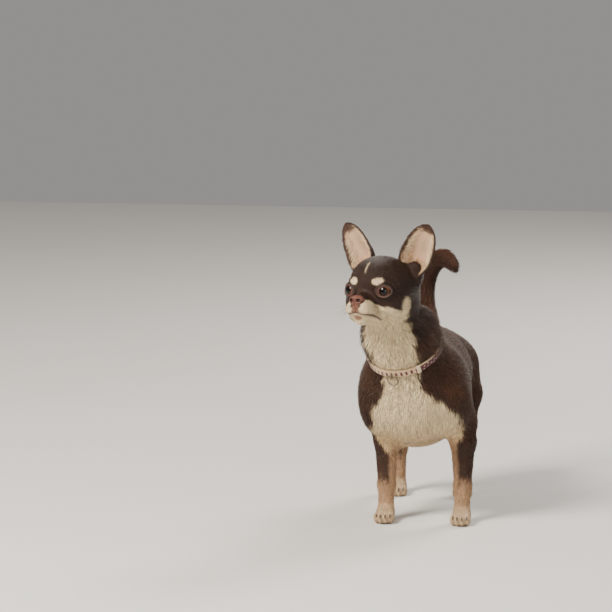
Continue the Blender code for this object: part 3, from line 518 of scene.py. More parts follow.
def leg_forms(hand, kind):
    points = foreleg_points(hand) if kind == "fore" else hindleg_points(hand)
    radii = FORELEG_RADII if kind == "fore" else HINDLEG_RADII
    return leg_chain(points, radii), paw_forms(points[-1], kind)


TAIL_POINTS = [
    np.array(point)
    for point in (
        (-0.001, 0.092, 0.166),
        (-0.006, 0.112, 0.187),
        (-0.011, 0.122, 0.208),
        (-0.011, 0.124, 0.2265),
        (-0.007, 0.119, 0.2430),
        (0.001, 0.109, 0.256),
        (0.011, 0.099, 0.261),
        (0.020, 0.090, 0.2565),
        (0.024, 0.086, 0.2515),
    )
]


def near(points, low, high):
    """Which points are inside a box."""
    return ((points > low) & (points < high)).all(1)


def drawn_to(distance, points, rounds):
    """Points moved along the slope of a distance until it is zero."""
    for _ in range(rounds):
        value = distance(points)
        slope = np.stack([distance(points + SLOPE_STEP * axis) - value for axis in np.eye(3)], 1) / SLOPE_STEP
        move = value[:, None] * slope / np.maximum((slope**2).sum(1), 0.05)[:, None]
        length = np.maximum(np.linalg.norm(move, axis=1), 1e-12)[:, None]
        points = points - move * np.minimum(1.0, LONGEST_MOVE / length)
    return points


def coordinates(mesh):
    found = np.empty(len(mesh.vertices) * 3)
    mesh.vertices.foreach_get("co", found)
    return found.reshape(-1, 3)


def new_object(name, mesh):
    """An object of a Blender mesh, or of a bmesh, which it uses up."""
    if isinstance(mesh, bmesh.types.BMesh):
        bmesh.ops.recalc_face_normals(mesh, faces=mesh.faces[:])
        data = bpy.data.meshes.new(name)
        mesh.to_mesh(data)
        mesh.free()
        mesh = data
    obj = bpy.data.objects.new(name, mesh)
    bpy.context.scene.collection.objects.link(obj)
    return obj


def settle(obj):
    """The object's modifiers become its mesh."""
    graph = bpy.context.evaluated_depsgraph_get()
    mesh = bpy.data.meshes.new_from_object(obj.evaluated_get(graph))
    obj.modifiers.clear()
    obj.data = mesh
    return obj


def eye_axes(hand):
    """Columns: the eye's own X, outward and up, in the head's frame."""
    return turned(about_z=EYE_OUTWARD * hand)


def ear_frame(hand):
    """The ear's root, its rise, its width and the way it faces, in the head's frame."""
    inner, outer, tip = (mirrored(p, hand) for p in (EAR_INNER, EAR_OUTER, EAR_TIP))
    root = (inner + outer) / 2
    rise = tip - root
    across = (outer - inner) * hand
    rise_way = rise / np.linalg.norm(rise)
    across = across - rise_way * (across @ rise_way)
    across_way = across / np.linalg.norm(across)
    facing = np.cross(across_way, rise_way)
    return root, rise, across_way, -facing if facing[1] > 0 else facing


def ear_point(hand, share, around):
    """A point on the ear's middle surface: share from the root to the tip, around from edge to edge."""
    root, rise, across, facing = ear_frame(hand)
    height = min(1.0, max(0.0, share))
    edge = max(0.0, 1 - max(0.0, share) ** 2.9) ** 0.54
    low = min(1.0, max(0.0, (share + EAR_ROOT) / 0.42))
    half = EAR_HALF_WIDTH * edge * (EAR_NARROW + (1 - EAR_NARROW) * math.sin(low * math.pi / 2))
    half = max(half, 0.0012)
    bend = math.radians(EAR_CURL[0] + (EAR_CURL[1] - EAR_CURL[0]) * height**0.8)
    radius = half / math.sin(min(bend, math.pi / 2))
    sideways = radius * math.sin(bend * around)
    backward = radius * (math.cos(bend * around) - math.cos(bend))
    lean = EAR_LEAN * math.sin(math.pi * height)
    return root + rise * share + across * sideways - facing * (backward + lean)


def tube(name, points, radius, cyclic):
    """A round wire along points, as a closed mesh."""
    curve = bpy.data.curves.new(name, "CURVE")
    curve.dimensions = "3D"
    curve.bevel_depth = radius
    curve.bevel_resolution = WIRE_ROUNDNESS
    curve.use_fill_caps = not cyclic
    spline = curve.splines.new("POLY")
    spline.points.add(len(points) - 1)
    for point, place in zip(spline.points, points):
        point.co = (*place, 1.0)
    spline.use_cyclic_u = cyclic
    obj = bpy.data.objects.new(name, curve)
    bpy.context.scene.collection.objects.link(obj)
    graph = bpy.context.evaluated_depsgraph_get()
    data = bpy.data.meshes.new_from_object(obj.evaluated_get(graph))
    bpy.data.objects.remove(obj, do_unlink=True)
    mesh = bmesh.new()
    mesh.from_mesh(data)
    bmesh.ops.remove_doubles(mesh, verts=mesh.verts, dist=0.00001)
    return new_object(name, mesh)


def collar_course(body):
    """Points around the neck at the collar, in and out of its own plane."""
    up = COLLAR_UP / np.linalg.norm(COLLAR_UP)
    right = np.cross(up, (0, 1, 0))
    right /= -np.linalg.norm(right)
    front = np.cross(right, up)
    if front[1] > 0:
        front = -front
    turns = np.linspace(0, 2 * math.pi, COLLAR_STEPS, endpoint=False)
    ways = np.sin(turns)[:, None] * right + np.cos(turns)[:, None] * front
    reach = np.full(COLLAR_STEPS, 0.036)
    for _ in range(12):
        reach -= body.distance(COLLAR_AT + ways * reach[:, None])
    for _ in range(2):
        reach = (np.roll(reach, 1) + 2 * reach + np.roll(reach, -1)) / 4
    return up, right, front, turns, ways, reach


def collar_spot(course, degrees, outward):
    """A point over the collar, its turn told from the dog's front, and the way out from the neck there."""
    _, _, _, turns, ways, reach = course
    turn = math.radians(degrees) % (2 * math.pi)
    length = np.interp(turn, turns, reach, period=2 * math.pi)
    way = np.array([np.interp(turn, turns, ways[:, axis], period=2 * math.pi) for axis in range(3)])
    return COLLAR_AT + way * (length + outward), way


def staple_course(spot, way, up):
    """A half circle that stands out from the band, its two ends against it."""
    reach = 2 * RING_WIRE + STAPLE_ROOM
    arch = []
    for turn in np.linspace(0, math.pi, 9):
        outward = RING_WIRE + reach * math.sin(turn)
        arch.append(spot + way * outward + up * reach * math.cos(turn))
    for end in (0, -1):
        arch[end] = arch[end] - way * RING_WIRE * 0.6
    return arch


def ring_course(body, spot, way, up):
    """The ring hangs from the staple, swung out just far enough to lie on the coat."""
    side = np.cross(way, up)
    top = spot + way * (RING_WIRE * 2 + RING_PLAY)
    turns = np.linspace(0, 2 * math.pi, RING_STEPS, endpoint=False)
    for tilt in np.radians(np.arange(0, 90, 2)):
        down = way * math.sin(tilt) - up * math.cos(tilt)
        middle = top + down * RING_RADIUS
        across = np.cos(turns)[:, None] * down - np.sin(turns)[:, None] * side
        ring = middle - across * RING_RADIUS
        if body.distance(ring).min() > RING_WIRE + RING_OFF_COAT:
            break
    return ring


class Dog:
    """All the masses of the dog but the ears, and the distance to their melted surface."""

    def __init__(self):
        self.trunk = trunk_forms()
        self.neck = neck_forms()
        self.skull, self.face = head_forms()
        self.legs = [leg_forms(hand, kind) for kind in ("fore", "hind") for hand in (1, -1)]
        tail_radii = rounded_course(TAIL_RADII, TAIL_STEPS)
        self.tail = leg_chain(rounded_course(TAIL_POINTS, TAIL_STEPS), tail_radii)
        self.parts = self.boxed_parts()

    def boxed_parts(self):
        """Each mass beside the trunk: its region, its distance, its box, and how far it melts in."""
        parts = [("neck", self.neck_distance, (-0.085, -0.150, 0.100), (0.060, -0.020, 0.275), TRUNK_MELT)]
        for number, hand in enumerate((1, -1)):
            x = foreleg_points(hand)[1][0]
            low, high = (x - 0.05, -0.135, -0.02), (x + 0.05, 0.00, 0.185)
            parts.append(("leg", self.leg_distance(number), low, high, LEG_ROOT_MELT))
        for number, hand in enumerate((1, -1), 2):
            x = hindleg_points(hand)[1][0]
            low, high = (x - 0.06, 0.00, -0.02), (x + 0.06, 0.15, 0.21)
            parts.append(("leg", self.leg_distance(number), low, high, LEG_ROOT_MELT))
        parts.append(("head", self.head_distance, HEAD_AT - 0.075, HEAD_AT + 0.075, HEAD_TO_NECK_MELT))
        low, high = (-0.045, 0.060, 0.130), (0.060, 0.160, 0.290)
        parts.append(("tail", self.tail_distance, low, high, TAIL_ROOT_MELT))
        return parts

    def head_distance(self, points):
        local = to_head(points)
        skull = melt_all(self.skull, local, SKULL_MELT)
        return melted(skull, melt_all(self.face, local, FACE_MELT), FACE_TO_SKULL_MELT)

    def neck_distance(self, points):
        return melt_all(self.neck, points, NECK_MELT)

    def tail_distance(self, points):
        return melt_all(self.tail, points, TAIL_MELT)

    def leg_distance(self, number):
        leg, paw = self.legs[number]

        def distance(points):
            return melted(melt_all(leg, points, LEG_MELT), melt_all(paw, points, TOE_MELT), PAW_MELT)

        return distance

    def distance(self, points):
        found = melt_all(self.trunk, points, TRUNK_MELT)
        for _, part_distance, low, high, reach in self.parts:
            mask = near(points, low, high)
            found[mask] = melted(found[mask], part_distance(points[mask]), reach)
        return found

    def shares(self, points):
        """How much each region owns each point, as columns in the order of REGIONS."""
        inside = np.full((len(points), len(REGIONS)), 0.1)
        inside[:, REGIONS.index("trunk")] = melt_all(self.trunk, points, TRUNK_MELT)
        for region, part_distance, low, high, _ in self.parts:
            mask = near(points, low, high)
            column = inside[:, REGIONS.index(region)]
            column[mask] = np.minimum(column[mask], part_distance(points[mask]))
        weights = np.exp(-(inside - inside.min(1)[:, None]) / REGION_BLEND)
        return weights / weights.sum(1)[:, None]

    def rough_mesh(self):
        """The masses as closed meshes that still cross each other."""
        mesh = bmesh.new()
        for form in self.trunk + self.neck + self.tail:
            form.add_to(mesh)
        for leg, paw in self.legs:
            for form in leg + paw:
                form.add_to(mesh)
        head = bmesh.new()
        for form in self.skull + self.face:
            form.add_to(head)
        place = Matrix.Translation(HEAD_AT) @ Matrix(HEAD_AXES).to_4x4()
        bmesh.ops.transform(head, matrix=place, verts=head.verts[:])
        spare = bpy.data.meshes.new("head masses")
        head.to_mesh(spare)
        head.free()
        mesh.from_mesh(spare)
        bpy.data.meshes.remove(spare)
        return mesh


def whisker_pad(heads):
    """How much a point belongs to the full upper lips beside the nose."""
    side = (np.abs(heads[:, 0]) - 0.0135) / 0.0065
    rest = heads[:, 1:] - np.array([-0.0400, -0.0185])
    return np.exp(-(side**2) - (rest**2).sum(1) / 0.0090**2)


def nose_bridge(heads):
    """How much a point belongs to the short bridge behind the nose."""
    rest = (heads - np.array([0.0, -0.0405, -0.0020])) / np.array([0.0065, 0.0070, 0.0045])
    return np.exp(-(rest**2).sum(1))


def eye_local(heads, hand):
    """Head-frame points in the eye's own frame: sideways, outward, up."""
    axes = eye_axes(hand) @ turned(about_y=EYE_SLANT * hand)
    local = (heads - mirrored(EYE_AT, hand)) @ axes
    return local[:, 0] * hand, -local[:, 1], local[:, 2]


def lid_edge(heads, hand):
    """Distance outside the almond opening of the lids, and how far in front of the eye's centre."""
    sideways, outward, up = eye_local(heads, hand)
    wide, high, low = EYE_OPENING
    flare = 1 + 0.16 * (outward - 0.002) / 0.0145
    tall = np.where(up > 0, high, low)
    across, over = np.abs(sideways / (wide * flare)), np.abs(up / (tall * flare))
    almond = (across**ALMOND + over**ALMOND) ** (1 / ALMOND)
    return (almond - 1) * 0.0054, outward, up


def mouth_course(dog):
    """Points of the lip line in the head's frame."""
    points = []
    for share in np.linspace(-1, 1, 41):
        hand, far = (1 if share > 0 else -1), abs(share)
        front, corner = MOUTH_FRONT, mirrored(MOUTH_CORNER, hand)
        turn = far * math.pi / 2
        x = corner[0] * math.sin(turn) ** 1.1 if share else 0.0
        y = front[1] + (corner[1] - front[1]) * (1 - math.cos(turn)) ** 1.15
        z = front[2] + (corner[2] - front[2]) * far**1.3 + MOUTH_BOW * math.sin(math.pi * far)
        points.append((x, y, z))
    placed = np.array([from_head(point) for point in points])
    return to_head(drawn_to(dog.distance, placed, rounds=8))


def course_distance(points, course):
    """Distance from points to a run of short straight stretches."""
    best = np.full(len(points), 1.0)
    for start, end in zip(course, course[1:]):
        along = end - start
        share = np.clip(((points - start) @ along) / max(along @ along, 1e-12), 0, 1)
        best = np.minimum(best, np.linalg.norm(points - start - share[:, None] * along, axis=1))
    return best


class Skin:
    """The bare skin: the body less the coat's depth, with lids, lips and folds on the face."""

    def __init__(self, dog):
        self.dog = dog
        self.mouth = mouth_course(dog)

    def depth(self, points):
        found = self.dog.shares(points) @ COAT_DEPTH
        paw = ramp(points[:, 2], 0.030, 0.012)
        found = found * (1 - paw) + 0.0005 * paw
        heads = to_head(points)
        return found * (1 - 0.9 * whisker_pad(heads)) - 0.0014 * nose_bridge(heads)

    def eye_folds(self, heads, found, hand):
        """The almond opening, its rim, the crease over the upper lid and the fold under the lower one."""
        edge, outward, up = lid_edge(heads, hand)
        front = outward > 0.0015
        near_eye = front & (edge < 0.009)
        rim = ridge(edge, *LID_RIM)
        crease = ridge(edge, *LID_CREASE) * ramp(up, -0.002, 0.002)
        under = ridge(edge, *LID_UNDER) * ramp(up, 0.0, -0.003)
        found[near_eye] += (crease + under - rim)[near_eye]
        blend = 0.0007
        share = np.clip(0.5 - 0.5 * (edge + found) / blend, 0, 1)
        carved = found * (1 - share) - edge * share + blend * share * (1 - share)
        return np.where(front, carved, found)

    def face(self, heads, found):
        """Lids, creases, lip line and the groove under the nose."""
        found = found.copy()
        for hand in (1, -1):
            found = self.eye_folds(heads, found, hand)
        muzzle = heads[:, 1] < MUZZLE_BACK
        if muzzle.any():
            near_lips = heads[muzzle]
            far = course_distance(near_lips, self.mouth)
            found[muzzle] += ridge(far, *LIP_LINE) - ridge(far, *LIP_EDGE)
            height = ramp(near_lips[:, 2], -0.0225, -0.0205) * ramp(near_lips[:, 2], -0.0135, -0.0155)
            found[muzzle] += ridge(near_lips[:, 0], *NOSE_GROOVE) * height
        return found

    def distance_with(self, depth):
        def distance(points):
            found = self.dog.distance(points) + depth
            heads = to_head(points)
            mask = np.abs(heads).max(1) < FOLDS_REACH
            if mask.any():
                found[mask] = self.face(heads[mask], found[mask])
            return found

        return distance


def refine(obj, chosen):
    """Splits the faces whose middle is chosen into four."""
    mesh = bmesh.new()
    mesh.from_mesh(obj.data)
    mesh.faces.ensure_lookup_table()
    middles = np.array([face.calc_center_median() for face in mesh.faces])
    mask = chosen(middles)
    edges = set()
    for index in np.nonzero(mask)[0]:
        edges.update(mesh.faces[index].edges)
    bmesh.ops.subdivide_edges(mesh, edges=list(edges), cuts=1, use_grid_fill=True)
    bmesh.ops.triangulate(mesh, faces=[face for face in mesh.faces if len(face.verts) > 4])
    mesh.to_mesh(obj.data)
    mesh.free()


def smoothed(obj, rounds, factor):
    smooth = obj.modifiers.new("Smooth", "SMOOTH")
    smooth.iterations = rounds
    smooth.factor = factor
    settle(obj)


def set_places(obj, points):
    """Moves the vertices to the points, with none under the floor."""
    points[:, 2] = np.maximum(points[:, 2], 0.0)
    obj.data.vertices.foreach_set("co", points.ravel())
    obj.data.update()


def skin_object(dog, skin):
    """One closed skin for the whole dog, finest around the eyes and the mouth."""
    obj = new_object("skin", dog.rough_mesh())
    remesh = obj.modifiers.new("Remesh", "REMESH")
    remesh.mode = "VOXEL"
    remesh.voxel_size = SKIN_VOXEL
    settle(obj)

    def fit(rounds):
        points = coordinates(obj.data)
        distance = skin.distance_with(skin.depth(points))
        set_places(obj, drawn_to(distance, points, rounds=rounds))

    def on_face(middles):
        heads = to_head(middles)
        from_middle = np.linalg.norm(heads - np.array([0, -0.030, -0.008]), axis=1)
        return (from_middle < 0.034) & (heads[:, 1] < -0.004)

    def on_lids(middles):
        heads = to_head(middles)
        chosen = course_distance(heads, skin.mouth) < 0.0022
        for hand in (1, -1):
            edge, outward, _ = lid_edge(heads, hand)
            chosen |= (np.abs(edge) < 0.0030) & (outward > 0.001)
        return chosen

    smoothed(obj, 4, 0.5)
    fit(3)
    choices = ((on_face, on_lids, on_lids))
    for chosen in choices:
        refine(obj, chosen)
        fit(2)
    smoothed(obj, 1, 0.35)
    set_places(obj, coordinates(obj.data))
    obj.data.shade_smooth()
    return obj


def outside_oval(first, second, middle, size):
    """How far outside an oval two coordinates are, as a share of its size."""
    return np.hypot((first - middle[0]) / size[0], (second - middle[1]) / size[1]) - 1


def light_fur(points, normals, heads, on_head, blur):
    """How much of the coat is cream: throat, chest, belly, and the marks of the face."""
    x, y, z = points.T
    hx, hy, hz = heads.T
    side = np.abs(hx)

    # A patch that widens from the throat down onto the chest, and the underside of the belly
    middle, half = (np.interp(z, PATCH_HEIGHTS, row) for row in (PATCH_MIDDLES, PATCH_HALVES))
    across = np.abs(x - middle) - half - 2.0 * blur
    forward = ramp(normals[:, 1], -0.15, -0.45) * np.where(z > 0.10, y < -0.062, y < -0.035)
    chest = ramp(across, 0.0022, -0.0022) * forward * ramp(z, 0.066, 0.080)
    belly = ramp(normals[:, 2], -0.45, -0.80) * ramp(z, 0.125, 0.100) * ramp(z, 0.060, 0.072) * 0.85
    body = np.maximum(chest, belly)

    # The sides of the muzzle under a line that falls towards the nose, then the chin and throat
    upper = -0.0058 - (hy + 0.047) * 0.42 + 0.8 * blur
    cheek = ramp(hz - upper, 0.0010, -0.0012) * ramp(hy + 0.6 * hz, -0.0175, -0.0215)
    cheek = cheek * np.clip(ramp(side, 0.0050, 0.0068) + ramp(hz, -0.0150, -0.0165), 0, 1)
    jaw = ramp(hz + blur, -0.0200, -0.0230) * ramp(hy, 0.004, -0.002) * ramp(side, 0.034, 0.030)

    # The spots over the eyes and on the cheeks, and the blaze up the forehead
    brow = ramp(outside_oval(side, hz, *BROW_SPOT) + 72 * blur, 0.22, -0.12) * (hy < -0.015)
    spot = ramp(outside_oval(hy, hz, *CHEEK_SPOT) + 96 * blur, 0.22, -0.12) * (side > 0.018)
    blaze = ramp(np.abs(hx + 0.0004 + 0.0008 * ripple(points, 0.004, 1.0)), 0.0013, 0.0006)
    blaze = blaze * ramp(hz, 0.0175, 0.0195) * ramp(hz, 0.0290, 0.0265) * (hy < 0.0) * 0.8
    face = np.maximum.reduce([cheek, jaw, brow, spot, blaze])
    return np.where(on_head, np.maximum(face, body * ramp(hz, -0.028, -0.034)), body)


def markings(points, normals):
    """The colour of the coat at points of the body, with painted highlight and shade, and how much of it is
    light fur.
    """
    heads = to_head(points)
    x, z = points[:, 0], points[:, 2]
    blur = 0.0016 * ripple(points, 0.004, 1.0) + 0.0009 * ripple(points, 0.0016, 4.0)
    in_box = near(points, HEAD_AT - MARKS_REACH, HEAD_AT + MARKS_REACH)
    on_head = in_box & (np.linalg.norm(heads, axis=1) < MARKS_REACH)
    light = light_fur(points, normals, heads, on_head, blur)

    # Feet and the inner sides of the legs
    inner = np.where(x > 0.004, -normals[:, 0], normals[:, 0])
    low = ramp(z + 3.0 * blur, 0.052, 0.036)
    inside = ramp(inner, 0.15, 0.60) * ramp(z, 0.112, 0.096) * ramp(z, 0.020, 0.040)
    leg = np.maximum(low, inside * 0.9) * (z < 0.115)

    # Dark fur, warmer in random patches and with a painted highlight where it faces up; then cream, with
    # painted shade lower on the body; then tan
    tone = np.clip(0.5 + 0.35 * ripple(points, 0.010, 7.0), 0, 1)
    # Painted highlight: fur that faces up is moved further towards the warm brown
    top = ramp(normals[:, 2], 0.1, 0.9) * np.where(on_head, 0.25, 0.6)
    dark = DARK + (WARM_AND_HIGHLIGHT - DARK) * np.clip(0.12 + 0.50 * top * tone + 0.22 * tone**2, 0, 1)[:, None]
    dark = np.where(on_head[:, None], DARK * 1.25, dark)
    cream = CREAM_FUR * (0.90 + 0.10 * tone)[:, None]
    # Painted shade: the cream of the body darkens and turns warmer lower down
    shaded = (ramp(z, 0.120, 0.085) * ~on_head)[:, None]
    cream = cream * (1 - 0.22 * shaded * np.array([0.6, 1.0, 1.5]))
    tan = TAN * (0.85 + 0.3 * tone)[:, None]
    tan = mixed(tan, CREAM_FUR * 0.85, ramp(z, 0.022, 0.010) * 0.6)
    colour = mixed(mixed(dark, cream, light), tan, leg)

    # The rust around the mouth and under the nose
    offsets = [(heads - np.array(at)) / np.array(size) for at, size in RUST_SPOTS]
    spots = [bell(np.linalg.norm(offset, axis=1), 1.0) for offset in offsets]
    rust = ramp(np.maximum.reduce(spots) + 60 * blur, 0.32, 0.68) * 0.9 * on_head
    return mixed(colour, RUST, rust), np.clip(np.maximum(light, leg), 0, 1)


def bare_skin(skin, heads, colour):
    """Darkens the lid rims and lips over the coat's colour."""
    colour = colour.copy()
    bare = np.zeros(len(heads))
    mask = np.abs(heads).max(1) < BARE_REACH
    local = heads[mask]
    found, amount = colour[mask], bare[mask]
    for hand in (1, -1):
        edge, outward, _ = lid_edge(local, hand)
        front = outward > 0.001
        ring = bell(edge - 0.0005, 0.00045) * front
        inner = ramp(edge, 0.0004, 0.0000) * front * (edge > -0.004)
        dark_ring = bell(edge - 0.0018, 0.0012) * front
        found = mixed(found, DARK * 0.8, dark_ring * 0.9)
        found = mixed(found, LID_SKIN, ring * 0.6)
        found = mixed(found, LIP, inner)
        amount = np.maximum(amount, np.clip(ring + inner + dark_ring * 0.6, 0, 1))
    lips = course_distance(local, skin.mouth)
    line = bell(lips, 0.0014)
    lower = bell(lips - 0.0012, 0.0012) * 0.6
    colour[mask] = mixed(found, LIP, np.clip(line + lower * 0.4, 0, 1))
    bare[mask] = np.maximum(amount, np.clip(line + lower, 0, 1))
    return colour, bare


def set_colour(obj, colours):
    """A colour for each vertex, or one for all, in the attribute that the materials read."""
    layer = obj.data.color_attributes.new("coat_colour", "FLOAT_COLOR", "POINT")
    flat = np.ones((len(obj.data.vertices), 4))
    flat[:, :3] = colours
    layer.data.foreach_set("color", flat.ravel())


def set_map(obj, name, places):
    """A UV map from a place for each vertex."""
    index = np.empty(len(obj.data.loops), dtype=np.int32)
    obj.data.loops.foreach_get("vertex_index", index)
    layer = obj.data.uv_layers.new(name=name)
    layer.data.foreach_set("uv", np.asarray(places, float)[index].ravel())


def flow(points, shares):
    """The way the coat lies at each point, before it is laid along the skin."""
    heads = to_head(points)
    back = heads - np.array([0.0, -0.080, -0.016])
    back /= np.linalg.norm(back, axis=1)[:, None]
    cheeks = ramp(heads[:, 2], 0.0, -0.02)[:, None]
    back = back + cheeks * np.array([0.0, 0.1, -0.35])
    head = back @ HEAD_AXES.T
    up = COLLAR_UP / np.linalg.norm(COLLAR_UP)
    neck = np.tile(-up + np.array([0, 0.25, -0.2]), (len(points), 1))
    chest = ramp(points[:, 1], -0.070, -0.100)[:, None]
    trunk = (1 - chest) * np.array([0.0, 1.0, -0.35]) + chest * np.array([0.0, 0.15, -1.0])
    leg = np.tile(np.array([0.0, 0.15, -1.0]), (len(points), 1))
    paw = ramp(points[:, 2], 0.022, 0.010)[:, None]
    leg = leg * (1 - paw) + paw * np.array([0.0, -1.0, -0.35])
    tail = np.zeros_like(points)
    weight = np.zeros(len(points))
    for start, end in zip(TAIL_POINTS, TAIL_POINTS[1:]):
        way = (end - start) / np.linalg.norm(end - start)
        share = np.exp(-np.linalg.norm(points - (start + end) / 2, axis=1) / 0.006)
        tail += way * share[:, None]
        weight += share
    tail /= np.maximum(weight, 1e-9)[:, None]
    parts = (head, neck, trunk, leg, tail)
    return sum(part * shares[:, i : i + 1] for i, part in enumerate(parts))


def mesh_arrays(mesh):
    """Triangles, vertex places and vertex normals of a mesh."""
    mesh.calc_loop_triangles()
    triangles = np.empty(len(mesh.loop_triangles) * 3, dtype=np.int32)
    mesh.loop_triangles.foreach_get("vertices", triangles)
    normals = np.empty(len(mesh.vertices) * 3)
    mesh.vertices.foreach_get("normal", normals)
    return triangles.reshape(-1, 3), coordinates(mesh), normals.reshape(-1, 3)


def scatter(mesh, density, count, seed):
    """Points over a mesh, more where the density is higher, with their normals."""
    rng = np.random.default_rng(seed)
    triangles, points, normals = mesh_arrays(mesh)
    corners = points[triangles]
    area = np.linalg.norm(np.cross(corners[:, 1] - corners[:, 0], corners[:, 2] - corners[:, 0]), axis=1) / 2
    middles = corners.mean(1)
    weight = area * density(middles, normals[triangles].mean(1))
    total = weight.sum()
    chance = np.cumsum(weight) / total
    picks = np.searchsorted(chance, (np.arange(count) + rng.random(count)) / count)
    picks = np.clip(picks, 0, len(triangles) - 1)
    first, second = rng.random(count), rng.random(count)
    over = first + second > 1
    first[over], second[over] = 1 - first[over], 1 - second[over]
    shares = np.stack([1 - first - second, first, second], 1)[:, :, None]
    found = (corners[picks] * shares).sum(1)
    facing = (normals[triangles[picks]] * shares).sum(1)
    facing /= np.linalg.norm(facing, axis=1)[:, None]
    return found, facing


def tufts(name, roots, facing, lie, length, width, rise, colours, unwrap, seed):
    """One mesh of thin three-sided tufts, each rooted in the skin and bent along the lie of the coat."""
    rng = np.random.default_rng(seed)
    count = len(roots)
    lie = unit_rows(lie - facing * (lie * facing).sum(1)[:, None])
    side = np.cross(facing, lie)
    turn = rng.normal(0, 0.16, count) + 0.22 * ripple(roots, 0.007, 2.0)
    cosine, sine = np.cos(turn)[:, None], np.sin(turn)[:, None]
    lie, side = lie * cosine + side * sine, side * cosine - lie * sine
    length = (length * rng.uniform(0.75, 1.2, count))[:, None]
    width = (width * rng.uniform(0.8, 1.25, count))[:, None]
    rise = (rise * rng.uniform(0.6, 1.4, count))[:, None]
    base = roots - facing * ROOT_DEPTH
    up = np.sin(rise) * length
    run = np.cos(rise) * length
    middle = base + lie * run * 0.45 + facing * (up * 0.62 + 0.0004)
    tip = base + lie * run + facing * (up * 0.85 + 0.0003) + side * length * rng.normal(0, 0.06, (count, 1))
    verts = np.empty((count, 7, 3))
    for corner, angle in enumerate((0.5 * math.pi, 1.17 * math.pi, 1.83 * math.pi)):
        out = side * math.cos(angle) + facing * 0.45 * math.sin(angle)
        verts[:, corner] = base + out * width * 0.5
        verts[:, 3 + corner] = middle + out * width * 0.42
    verts[:, 6] = tip
    verts[:, :, 2] = np.maximum(verts[:, :, 2], FLOOR_CLEARANCE)
    faces = (np.arange(count)[:, None, None] * 7 + np.array(TUFT_FACES)[None]).reshape(-1, 3)
    mesh = bpy.data.meshes.new(name)
    mesh.vertices.add(count * 7)
    mesh.vertices.foreach_set("co", verts.ravel())
    mesh.loops.add(len(faces) * 3)
    mesh.loops.foreach_set("vertex_index", faces.ravel().astype(np.int32))
    mesh.polygons.add(len(faces))
    mesh.polygons.foreach_set("loop_start", np.arange(0, len(faces) * 3, 3, dtype=np.int32))
    mesh.polygons.foreach_set("loop_total", np.full(len(faces), 3, dtype=np.int32))
    mesh.update()
    mesh.validate()
    obj = new_object(name, mesh)
    locks = 1 + 0.20 * ripple(roots, 0.0032, 9.0) + 0.14 * ripple(roots, 0.0012, 6.0)
    shade = (rng.normal(1.0, 0.20, count) * locks)[:, None, None]
    # Painted shade darkens each tuft at its root and a painted highlight brightens its tip
    tint = np.clip(colours[:, None, :] * shade * np.array(TUFT_PAINTED_SHADE)[None, :, None], 0, 1)
    set_colour(obj, tint.reshape(-1, 3))
    places = unwrap(roots)[:, None, :] + (np.array(TUFT_PATCH) - TUFT_PATCH_MIDDLE)[None]
    set_map(obj, "OFBake", places.reshape(-1, 2))
    return obj


def around_axis(start, end):
    """An unwrap by turn and height around an axis, kept clear of the map's edges."""
    start, end = np.asarray(start, float), np.asarray(end, float)
    way = (end - start) / np.linalg.norm(end - start)
    first = np.cross(way, (0.31, 0.87, 0.38))
    first /= np.linalg.norm(first)
    second = np.cross(way, first)
    span = np.linalg.norm(end - start)

    def unwrap(points):
        offset = points - start
        turn = np.arctan2(offset @ second, offset @ first) / (2 * math.pi) + 0.5
        height = (offset @ way) / span
        return np.stack([0.01 + 0.98 * turn, 0.01 + 0.98 * np.clip(height, 0, 1)], 1)

    return unwrap


class Finish:
    """A material, with what its shader reads."""

    def __init__(self, name, values):
        self.material = bpy.data.materials.new(name)
        self.material.use_nodes = True
        self.tree = self.material.node_tree
        self.shader = self.tree.nodes["Principled BSDF"]
        for socket, value in values.items():
            self.shader.inputs[socket].default_value = value

    def node(self, kind, **values):
        made = self.tree.nodes.new("ShaderNode" + kind)
        for key, value in values.items():
            if key in made.inputs:
                made.inputs[key].default_value = value
            else:
                setattr(made, key, value)
        return made

    def link(self, output, made, socket):
        self.tree.links.new(output, made.inputs[socket])

    def texture(self, kind, output, **values):
        """A texture that keeps its place on the object."""
        made = self.node(kind, **values)
        self.link(self.node("TexCoord").outputs["Object"], made, "Vector")
        return made.outputs[output]

    def spread(self, value, low, high):
        """A value from 0 to 1, spread from low to high."""
        span = self.node("MapRange")
        span.inputs["To Min"].default_value = low
        span.inputs["To Max"].default_value = high
        self.link(value, span, "Value")
        return span.outputs["Result"]

    def paint(self, shade=None):
        """The base colour is the mesh's own, times the shade where there is one."""
        colour = self.node("Attribute", attribute_name="coat_colour").outputs["Color"]
        if shade is not None:
            mix = self.node("VectorMath", operation="SCALE")
            self.link(colour, mix, 0)
            self.link(shade, mix, "Scale")
            colour = mix.outputs["Vector"]
        self.link(colour, self.shader, "Base Color")

    def tone(self, value, dark, pale):
        """The base colour runs from dark to pale with the value."""
        tone = self.node("ValToRGB")
        for element, colour in zip(tone.color_ramp.elements, (dark, pale)):
            element.color = (*colour, 1)
        self.link(value, tone, "Fac")
        self.link(tone.outputs["Color"], self.shader, "Base Color")

    def bump(self, height, strength, distance):
        bump = self.node("Bump", Strength=strength, Distance=distance)
        self.link(height, bump, "Height")
        self.link(bump.outputs["Normal"], self.shader, "Normal")


def coat_material(name, roughness, sheen, bump):
    """Fur whose colour comes from the coat's own markings and its painted highlight and shade, with fine
    streaks.
    """
    sheens = {"Sheen Weight": sheen, "Sheen Roughness": 0.45}
    finish = Finish(name, {"Roughness": roughness, "Specular IOR Level": 0.36, **sheens})
    streaks = finish.texture("TexNoise", "Fac", Scale=900.0, Detail=3.0)
    finish.paint(finish.spread(streaks, 0.78, 1.18))
    if bump:
        finish.bump(streaks, bump, 0.0006)
    return finish.material


def nose_material():
    finish = Finish("nose leather", {"Roughness": 0.42, "Specular IOR Level": 0.5})
    cells = finish.texture("TexVoronoi", "Distance", Scale=1500.0)
    finish.paint()
    finish.bump(cells, 0.55, 0.0005)
    return finish.material


